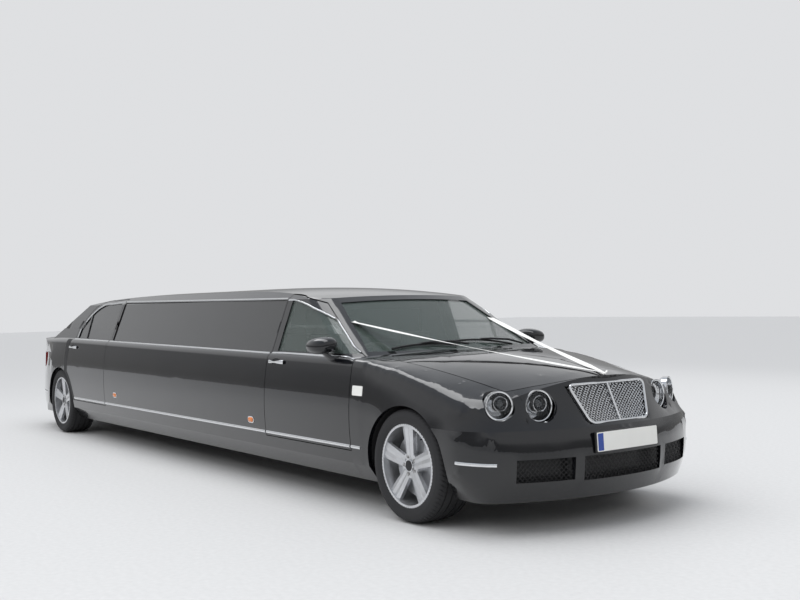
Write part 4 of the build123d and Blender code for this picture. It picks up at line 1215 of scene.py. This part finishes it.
# %% Lamp insides
LAMPS = [
    # name, x, y, z, radius, outward degrees
    ("lamp_inner", 4.030, 0.515, 0.727, 0.091, 10.0),
    ("lamp_outer", 3.945, 0.744, 0.738, 0.082, 24.0),
]
# distance along, distance out from the lamp's radius
MOUTH = [(-0.004, -0.0065), (0.0035, -0.0075), (0.0065, -0.003), (0.0062, 0.0005)]
# distance along, share of the lamp's radius
BARREL = [(-0.070, 0.50), (-0.016, 0.50), (-0.012, 0.485), (-0.012, 0.44), (-0.024, 0.40), (-0.026, 0.36),
          (-0.040, 0.34)]
HOOP = [(-0.014, 0.50), (-0.0105, 0.515), (-0.0095, 0.49), (-0.012, 0.462)]
CUP = [(-0.062, 0.0), (-0.060, 0.2), (-0.052, 0.30), (-0.040, 0.338)]
BOWL_STEPS = 7


def bowl_profile(radius):
    """Steps that go down into the bowl and get narrower."""
    profile = [(-0.028, radius - 0.012)]
    for n in range(BOWL_STEPS):
        share = n / BOWL_STEPS
        depth = -0.030 - 0.046 * share
        narrow = 1 - 0.62 * share
        profile.append((depth, (radius - 0.013) * narrow))
        profile.append((depth - 0.0045, (radius - 0.0135) * narrow - 0.0022))
    return profile


def eye_profile(radius):
    """A quarter circle that turns into the eye's dome."""
    angles = [math.radians(a) for a in range(0, 91, 10)]
    return [(-0.038 + 0.026 * math.cos(a), radius * 0.345 * math.sin(a)) for a in angles]


def scaled(profile, radius):
    return [(along, radius * share) for along, share in profile]


for side, sign in SIDES:
    for lamp, x, y, z, radius, outward in LAMPS:
        turn = math.radians(outward)
        aim = Vector((math.cos(turn), sign * math.sin(turn), 0.06)).normalized()
        place = Vector((x, sign * y, z))
        eye_place = place + Vector((0, -sign * radius * 0.20, radius * 0.12))
        mouth = [(along, radius + out) for along, out in MOUTH]
        name = f"{lamp}_{side}"
        piece(f"{name}_bowl", *turned(bowl_profile(radius), place, aim, 64), "chrome", "body")
        piece(f"{name}_ring", *turned(mouth, place, aim, 64), "chrome", "body")
        piece(f"{name}_barrel", *turned(scaled(BARREL, radius), eye_place, aim, 48), "seal", "body")
        piece(f"{name}_hoop", *turned(scaled(HOOP, radius), eye_place, aim, 48), "chrome", "body")
        piece(f"{name}_eye", *turned(eye_profile(radius), eye_place, aim, 40), "lens", "body")
        piece(f"{name}_cup", *turned(scaled(CUP, radius), eye_place, aim, 40), "seal", "body")
print("lamps", 2 * len(LAMPS))

# %% [markdown]
# ## Wheels
#
# A tyre is a turned shape: bead, bulging side wall, shoulder and crown, with grooves round the
# crown. The blocks between the grooves come from cuts across, which here are slots that lean the
# same way on each side. The rims are cast and then machined, so they stay as the CAD has them, with
# a dark blank cap, five bolts and a valve added.

# %% Tyres
FRONT_AXLE = 3.320
REAR_AXLE = -2.945
AXLE_HEIGHT = 0.348
TYRE_OUT = 0.3478
WALL = [
    # distance from the middle plane, radius
    (0.1210, 0.2440), (0.1235, 0.2500), (0.1268, 0.2580), (0.1290, 0.2600), (0.1318, 0.2680),
    (0.1350, 0.2800), (0.1368, 0.2920), (0.1372, 0.3040), (0.1362, 0.3060), (0.1358, 0.3085),
    (0.1345, 0.3150), (0.1305, 0.3250), (0.1240, 0.3330), (0.1160, 0.3385), (0.1050, 0.3420),
]
# distance from the middle plane, half width
GROOVES = ((0.078, 0.005), (0.028, 0.006))
GROOVE_DEPTH = 0.0075
TREAD_STEPS = 288
SLOT_DEPTH = 0.0055
SLOT_LEAN = 1.4


def crown(across):
    """The radius of the tread at a distance from the middle plane."""
    return TYRE_OUT - 0.0058 * (abs(across) / 0.105) ** 2


def tyre_profile():
    """The tyre's outline from bead to bead, with its four grooves."""
    half = list(WALL)
    for middle, wide in GROOVES:
        steps = [(middle + wide, 0.0), (middle + wide * 0.8, GROOVE_DEPTH)]
        steps += [(middle - wide * 0.8, GROOVE_DEPTH), (middle - wide, 0.0)]
        half += [(across, crown(across) - depth) for across, depth in steps]
    return half + [(-across, radius) for across, radius in reversed(half)]


def tyre(name, x, y, sign, body, old):
    """A tyre with slots across its shoulders and the ribs between its grooves."""
    profile = tyre_profile()
    points, faces = [], []
    for k in range(TREAD_STEPS):
        for across, radius in profile:
            angle = math.tau * k / TREAD_STEPS + (abs(across) - 0.09) * SLOT_LEAN
            shoulder = 0.084 < abs(across) < 0.128
            rib = 0.036 < abs(across) < 0.072
            slotted = (k % 4 == 0 and shoulder) or (k % 4 == 2 and rib)
            r = radius - (SLOT_DEPTH if slotted else 0.0)
            points.append((x + r * math.cos(angle), y + sign * across, AXLE_HEIGHT + r * math.sin(angle)))
    size = len(profile)
    for k in range(TREAD_STEPS):
        a = k * size
        b = (k + 1) % TREAD_STEPS * size
        faces += [(a + n, b + n, b + n + 1, a + n + 1) for n in range(size - 1)]
        faces.append((a + size - 1, b + size - 1, b, a))
    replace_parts(piece(name, points, faces, "tyre", body), old)


HUBS = [
    # name, axle x, track half
    ("front", FRONT_AXLE, 0.8115),
    ("rear", REAR_AXLE, 0.8035),
]
for side, sign in SIDES:
    for axle, x, y in HUBS:
        body = f"wheel_{axle}_{side}"
        tyre(f"road_tyre_{axle}_{side}", x, sign * y, sign, body, f"tyre_{axle}_{side}")

# %% Wheel caps, bolts and valves
# distance from the tyre's middle plane, radius
CAP = [(0.100, 0.0335), (0.1075, 0.0325), (0.1085, 0.0300), (0.1092, 0.020), (0.1098, 0.008), (0.1100, 0.0)]
CAP_RING = [(0.100, 0.0385), (0.1085, 0.0378), (0.1100, 0.0355), (0.1088, 0.0328), (0.100, 0.0325)]
BOLT = [(0.092, 0.0125), (0.102, 0.0118), (0.104, 0.0105), (0.1035, 0.006), (0.1005, 0.0055), (0.1005, 0.0)]
VALVE = [(0.094, 0.0045), (0.104, 0.0042), (0.112, 0.0036), (0.1125, 0.0042), (0.120, 0.0042), (0.1208, 0.0)]
BOLT_COUNT = 5
BOLT_CIRCLE = 0.056
VALVE_CIRCLE = 0.218
VALVE_ANGLE = 0.9


def on_wheel(hub, radius, angle):
    """A place on a circle round the hub."""
    return hub + Vector((radius * math.cos(angle), 0, radius * math.sin(angle)))


for side, sign in SIDES:
    for axle, x, y in HUBS:
        body = f"wheel_{axle}_{side}"
        hub = Vector((x, sign * y, AXLE_HEIGHT))
        out = Vector((0, sign, 0))
        angles = [math.tau * (n + 0.5) / BOLT_COUNT for n in range(BOLT_COUNT)]
        bolts = [turned(BOLT, on_wheel(hub, BOLT_CIRCLE, angle), out, 6) for angle in angles]
        stem = on_wheel(hub, VALVE_CIRCLE, VALVE_ANGLE)
        piece(f"wheel_cap_{axle}_{side}", *turned(CAP, hub, out, 40), "seal", body)
        piece(f"wheel_cap_ring_{axle}_{side}", *turned(CAP_RING, hub, out, 40), "chrome", body)
        piece(f"wheel_bolts_{axle}_{side}", *joined(*bolts), "steel", body, smooth=False)
        piece(f"wheel_valve_{axle}_{side}", *turned(VALVE, stem, out, 12), "seal", body)
print("wheel pieces", 4 * 5)

# %% [markdown]
# ## Door mirrors
#
# Each mirror is a smooth pod on a short arm, cut flat behind, where the glass sits in a dark rim.

# %% Mirrors
MIRROR_MIDDLE = (2.430, 0.9640, 1.058)
# half length, half width and half height
MIRROR_REACH = (0.1080, 0.0930, 0.0580)
MIRROR_RINGS = 15
# where the pod is cut flat, and how far the rings go from there to its nose
CUT_ANGLE = -40
NOSE_TURN = 130
# how much lower the pod is at its outer end, for its width
POD_DROOP = 0.10
ARM_STEPS = 8


def squarer(value):
    """A sine or cosine pushed outward, which makes an oval squarer."""
    return math.copysign(abs(value) ** 0.85, value)


def pod(name, sign, body, old):
    """A mirror's pod, its glass in a rim at the flat back, and its arm."""
    middle = Vector((MIRROR_MIDDLE[0], sign * MIRROR_MIDDLE[1], MIRROR_MIDDLE[2]))
    long, wide, tall = MIRROR_REACH
    rings = []
    for n in range(MIRROR_RINGS):
        angle = math.radians(CUT_ANGLE + NOSE_TURN * n / (MIRROR_RINGS - 1))
        scale = math.cos(angle) ** 0.55 if n < MIRROR_RINGS - 1 else 0.02
        ring = []
        for k in range(40):
            y = wide * scale * squarer(math.cos(math.tau * k / 40))
            z = tall * scale * squarer(math.sin(math.tau * k / 40))
            ring.append(middle + Vector((long * math.sin(angle), sign * y, z - POD_DROOP * y)))
        rings.append(ring)
    back = rings[0]
    centre = sum(back, Vector()) / len(back)
    lip = [centre + (p - centre) * 0.90 for p in back]
    well = [p + Vector((0.006, 0, 0)) for p in lip]
    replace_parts(piece(name, *swept([lip] + rings), "paint", body), old)
    glass_at = [centre + (p - centre) * 0.89 + Vector((0.0035, 0, 0)) for p in back]
    piece(name + "_glass", *swept([well, glass_at]), "mirror", body)
    arm = []
    for n in range(ARM_STEPS + 1):
        t = n / ARM_STEPS
        p = Vector((2.470 - 0.020 * t, sign * (0.897 + 0.070 * t), 0.962 + 0.052 * t ** 1.3))
        wide, tall = 0.036 - 0.012 * t, 0.022 - 0.006 * t
        arm.append(round_about(p, Vector((1, 0, 0)), Vector((0, 0, 1)), wide, tall, 16))
    piece(name + "_arm", *swept(arm), "paint", body)


for side, sign in SIDES:
    pod(f"door_mirror_{side}", sign, f"door_front_{side}", f"mirror_{side}")

# %% [markdown]
# ## Wipers
#
# Two long wipers rest low on the windscreen, both hinged on the left as the driver sits on the
# right. Each is an arm and a blade, with the blade's rubber on the glass.

# %% Wipers
WIPERS = [
    # hinge y, tip y, hinge x, tip x
    (0.560, -0.060, 2.745, 2.700),
    (0.020, -0.610, 2.770, 2.690),
]
BLADE_STEPS = 14
# from the hinge to the end of the blade next to it
BLADE_INSET_Y = 0.06
BLADE_INSET_X = 0.030
BLADE_SAG = 0.020
BLADE_LIFT = 0.010
for number, (hinge_y, tip_y, hinge_x, tip_x) in enumerate(WIPERS):
    blade_path = []
    for k in range(BLADE_STEPS + 1):
        t = k / BLADE_STEPS
        y = hinge_y - BLADE_INSET_Y + (tip_y - hinge_y + BLADE_INSET_Y) * t
        straight_x = hinge_x - BLADE_INSET_X + (tip_x - hinge_x + BLADE_INSET_X) * t
        found = from_above(SCREEN, straight_x - BLADE_SAG * math.sin(math.pi * t), y)
        if found:
            blade_path.append(found[0] + found[1] * BLADE_LIFT)
    piece(f"wiper_blade_{number}", *swept(bar_rings(blade_path, 0.0075, 8)), "seal", "body")
    middle = blade_path[len(blade_path) // 2]
    root = Vector((hinge_x + 0.030, hinge_y, blade_path[0].z + 0.004))
    arm_path = [root, root.lerp(middle, 0.35) + Vector((0, 0, 0.020)),
                root.lerp(middle, 0.75) + Vector((0, 0, 0.016)), middle + Vector((0, 0, 0.006))]
    arm_path = spread([tuple(p) for p in arm_path], 0.04)
    piece(f"wiper_arm_{number}", *swept(bar_rings(arm_path, 0.007, 8)), "seal", "body")
print("wipers done")

# %% [markdown]
# ## Wedding ribbons
#
# Two white satin ribbons run from the nose over the bonnet to the windscreen's upper corners. They
# are pulled taut, so a simulation would only return the straight line: each is a strip of cloth laid
# out between its two ends, kept just above the panels it passes, with a slight twist.

# %% Ribbons
RIBBON = 0.048
TIE = Vector((4.062, 0.0, 0.893))
# where each ribbon ends on the screen: x, and y out from the middle
RIBBON_END = (2.330, 0.640)
RIBBON_STEPS = 90
RIBBON_CELLS = 4
HANG = 0.012
TWIST = 0.10
CLEAR_OF_PANELS = 0.0035
UPWARD = Vector((0, 0, 1))
TOPS = touching([n for n in PAINTED if n in ("bonnet", "cowl", "front_fascia", "front_wings", "cabin_frame")])


def above(p, gap):
    """The point, lifted clear of panels and glass where it would be inside them."""
    best = p.z
    for tree in (TOPS, SCREEN):
        found = from_above(tree, p.x, p.y)
        if found:
            best = max(best, found[0].z + gap)
    return Vector((p.x, p.y, best))


def ribbon(name, start, end):
    """A strip of cloth between two ends, and the length of its middle line."""
    side = (end - start).normalized().cross(UPWARD).normalized()
    rows = []
    for n in range(RIBBON_STEPS + 1):
        t = n / RIBBON_STEPS
        middle = start.lerp(end, t) - Vector((0, 0, HANG * math.sin(math.pi * t)))
        half = RIBBON / 2 * min(1.0, 0.35 + 6 * t)
        lean = TWIST * math.sin(3.0 * math.pi * t)
        across = side * math.cos(lean) + UPWARD * math.sin(lean)
        offsets = [half * (k - 2) / 2 for k in range(RIBBON_CELLS + 1)]
        rows.append([above(middle + across * offset, CLEAR_OF_PANELS) for offset in offsets])
    points = [p for row in rows for p in row]
    wide = RIBBON_CELLS + 1
    faces = []
    for n in range(RIBBON_STEPS):
        a = n * wide
        b = a + wide
        faces += [(a + k, a + k + 1, b + k + 1, b + k) for k in range(RIBBON_CELLS)]
    length = sum((there[2] - here[2]).length for here, there in zip(rows, rows[1:]))
    print(name, "flat size", (RIBBON, round(length, 3)))
    return piece(name, points, faces, "satin", None), length


for side, sign in SIDES:
    end = from_above(SCREEN, RIBBON_END[0], sign * RIBBON_END[1])[0] + Vector((0, 0, 0.004))
    made, length = ribbon(f"ribbon_{side}", TIE, end)
    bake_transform(made)
bow = []
for k in range(25):
    a = math.tau * k / 24
    bow.append(TIE + Vector((0.012 * math.cos(a) * 1.3, 0.020 * math.sin(a), 0.006 * math.sin(2 * a))))
piece("ribbon_knot", *swept(bar_rings(bow, 0.0065, 8)), "satin", "bonnet")

# %% [markdown]
# ## Seats and benches
#
# The cabin shows through the glass: two front seats, a long bench down the left side and a bench
# across the rear. Each is a set of cushions over the solid's seat. A cushion starts as a box of fine
# squares; it is crowned in the middle, drawn in at its edges where the piping runs, and pressed down
# along sewn channels. That is done by moving points, as the cushions are firm and seen through glass.

# %% A sewn cushion
TUCK = 0.010


def cushion(name, corner, along, across, up, channels, crown=0.018):
    """A padded block over three edge vectors, with channels across its length."""
    corner, along, across, up = Vector(corner), Vector(along), Vector(across), Vector(up)
    cells = (max(8, channels * 6), 12, 5)
    work = bmesh.new()
    grid = {}

    def vertex(i, j, k):
        """The cushion's point at this corner of the grid, made when it is first asked for."""
        key = (i, j, k)
        if key not in grid:
            u, v, w = i / cells[0], j / cells[1], k / cells[2]
            bulge_u = 4 * u * (1 - u)
            bulge_v = 4 * v * (1 - v)
            bulge_w = 4 * w * (1 - w)
            edge = min(1.0, 6 * min(u, 1 - u)) * min(1.0, 5 * min(v, 1 - v))
            groove = abs(math.sin(math.pi * u * channels)) ** 0.4 if channels > 1 else 1.0
            lift = crown * bulge_u ** 0.5 * bulge_v ** 0.5 * (0.45 + 0.55 * groove)
            lift -= 0.35 * crown * (1 - edge)
            p = corner + along * u + across * v + up * w
            p += up.normalized() * (lift * w)
            tuck = TUCK * (1 - bulge_w)
            p += along.normalized() * (tuck * (1 - 2 * u) * (1 if u in (0.0, 1.0) else 0))
            p += across.normalized() * (tuck * (1 - 2 * v) * (1 if v in (0.0, 1.0) else 0))
            grid[key] = work.verts.new(p)
        return grid[key]

    def quad(*keys):
        work.faces.new([vertex(*key) for key in keys])

    a, b, c = cells
    for i in range(a):
        for j in range(b):
            quad((i, j, 0), (i, j + 1, 0), (i + 1, j + 1, 0), (i + 1, j, 0))
            quad((i, j, c), (i + 1, j, c), (i + 1, j + 1, c), (i, j + 1, c))
    for i in range(a):
        for k in range(c):
            quad((i, 0, k), (i + 1, 0, k), (i + 1, 0, k + 1), (i, 0, k + 1))
            quad((i, b, k), (i, b, k + 1), (i + 1, b, k + 1), (i + 1, b, k))
    for j in range(b):
        for k in range(c):
            quad((0, j, k), (0, j, k + 1), (0, j + 1, k + 1), (0, j + 1, k))
            quad((a, j, k), (a, j + 1, k), (a, j + 1, k + 1), (a, j, k + 1))
    made = piece(name, *drawn_off(work), "leather", "body")
    round_off = made.modifiers.new("round", "SUBSURF")
    round_off.levels = round_off.render_levels = 1


# %% Front seats
SEAT_FOOT = [(1.75, 0.264), (2.15, 0.264), (2.16, 0.36), (1.72, 0.34)]
for side, sign in SIDES:
    y = sign * 0.430
    seat = f"front_seat_{side}"
    cushion(f"{seat}_cushion", (1.700, y - 0.245, 0.360), (0.500, 0, 0.045), (0, 0.490, 0),
            (-0.010, 0, 0.105), 5)
    cushion(f"{seat}_back", (1.760, y - 0.235, 0.480), (-0.080, 0, 0.430), (0, 0.470, 0),
            (-0.085, 0, -0.010), 5)
    cushion(f"{seat}_front", (1.722, y + 0.225, 0.500), (-0.070, 0, 0.400), (0, -0.450, 0),
            (0.062, 0, 0.010), 6)
    cushion(f"{seat}_headrest", (1.604, y - 0.130, 0.955), (0.004, 0, 0.150), (0, 0.260, 0),
            (0.080, 0, -0.002), 1, crown=0.010)
    parts = [swept([[(x, y + out, z) for x, z in SEAT_FOOT] for out in (-0.20, 0.20)])]
    for out in (-0.06, 0.06):
        parts.append(swept(bar_rings([(1.640, y + out, 0.90), (1.632, y + out, 1.03)], 0.007)))
    frame_piece = piece(f"{seat}_frame", *joined(*parts), "structure", "body", smooth=False)
    if side == "right":
        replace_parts(frame_piece, "front_seats")

# %% Benches
for number in range(4):
    x = -1.490 + number * 0.690
    bench = f"side_bench_{number}"
    cushion(f"{bench}_seat", (x, 0.415, 0.350), (0.680, 0, 0), (0, 0.320, 0), (0, 0, 0.095), 6)
    cushion(f"{bench}_back", (x, 0.735, 0.450), (0.680, 0, 0), (0, 0.030, 0.345), (0, -0.040, 0.005), 6)
# the outline is of (y, z)
outline = [(0.430, 0.264), (0.820, 0.264), (0.820, 0.795), (0.765, 0.795), (0.730, 0.352), (0.420, 0.352)]
plinth = [[(x, y, z) for y, z in outline] for x in (-1.498, 1.278)]
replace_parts(piece("side_bench_frame", *swept(plinth), "leather", "body", smooth=False), "side_bench")
for number in range(3):
    y = -0.605 + number * 0.405
    bench = f"rear_bench_{number}"
    cushion(f"{bench}_seat", (-2.450, y, 0.350), (0.480, 0, 0.020), (0, 0.400, 0), (0, 0, 0.095), 4)
    cushion(f"{bench}_back", (-2.535, y + 0.400, 0.460), (-0.105, 0, 0.400), (0, -0.400, 0),
            (0.070, 0, 0.018), 5)
# the outline is of (x, z)
outline = [(-2.755, 0.264), (-1.995, 0.264), (-1.985, 0.352), (-2.480, 0.352), (-2.620, 0.875),
           (-2.755, 0.875)]
plinth = [[(x, y, z) for x, z in outline] for y in (-0.608, 0.608)]
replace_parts(piece("rear_bench_frame", *swept(plinth), "leather", "body", smooth=False), "rear_bench")
print("cushions", 8 + 8 + 6)

# %% [markdown]
# ## Tail
#
# The tail isn't in the picture, so it follows the front's manner: a blank plate and a chrome bar on
# the boot lid, and polished ends on the two exhaust pipes.

# %% Tail trim
REAR_PLATE_SIZE = (0.520, 0.110, 0.003, 0.008)
# distance along, radius
PIPE_END = [(-0.070, 0.0372), (0.010, 0.0385), (0.0215, 0.0390), (0.0240, 0.0370), (0.0220, 0.0340),
            (-0.060, 0.0335)]
PIPE_BORE = [(-0.050, 0.0), (-0.049, 0.033)]
BACKWARD = (-1, 0, 0)


def tail_spot(y, z):
    return touch(PANELS, (-6.0, y, z), (1.0, 0.0, 0.0))


spots = [tail_spot(n * 0.05 - 0.45, 0.845) for n in range(19)]
strip("tail_bar", [s for s in spots if s], 0.018, 0.006, "boot_lid")
spot, normal = tail_spot(0.0, 0.745)
print("boot lid at", spot)
raised_plate("rear_plate", spot + normal * 0.004, normal, CROSSWISE, *REAR_PLATE_SIZE, "white", "boot_lid")
for side, sign in SIDES:
    pipe = Vector((-4.2200, sign * 0.460, 0.262))
    piece(f"exhaust_tip_{side}", *turned(PIPE_END, pipe, BACKWARD, 40), "chrome", "body")
    piece(f"exhaust_bore_{side}", *turned(PIPE_BORE, pipe, BACKWARD, 40), "seal", "body")
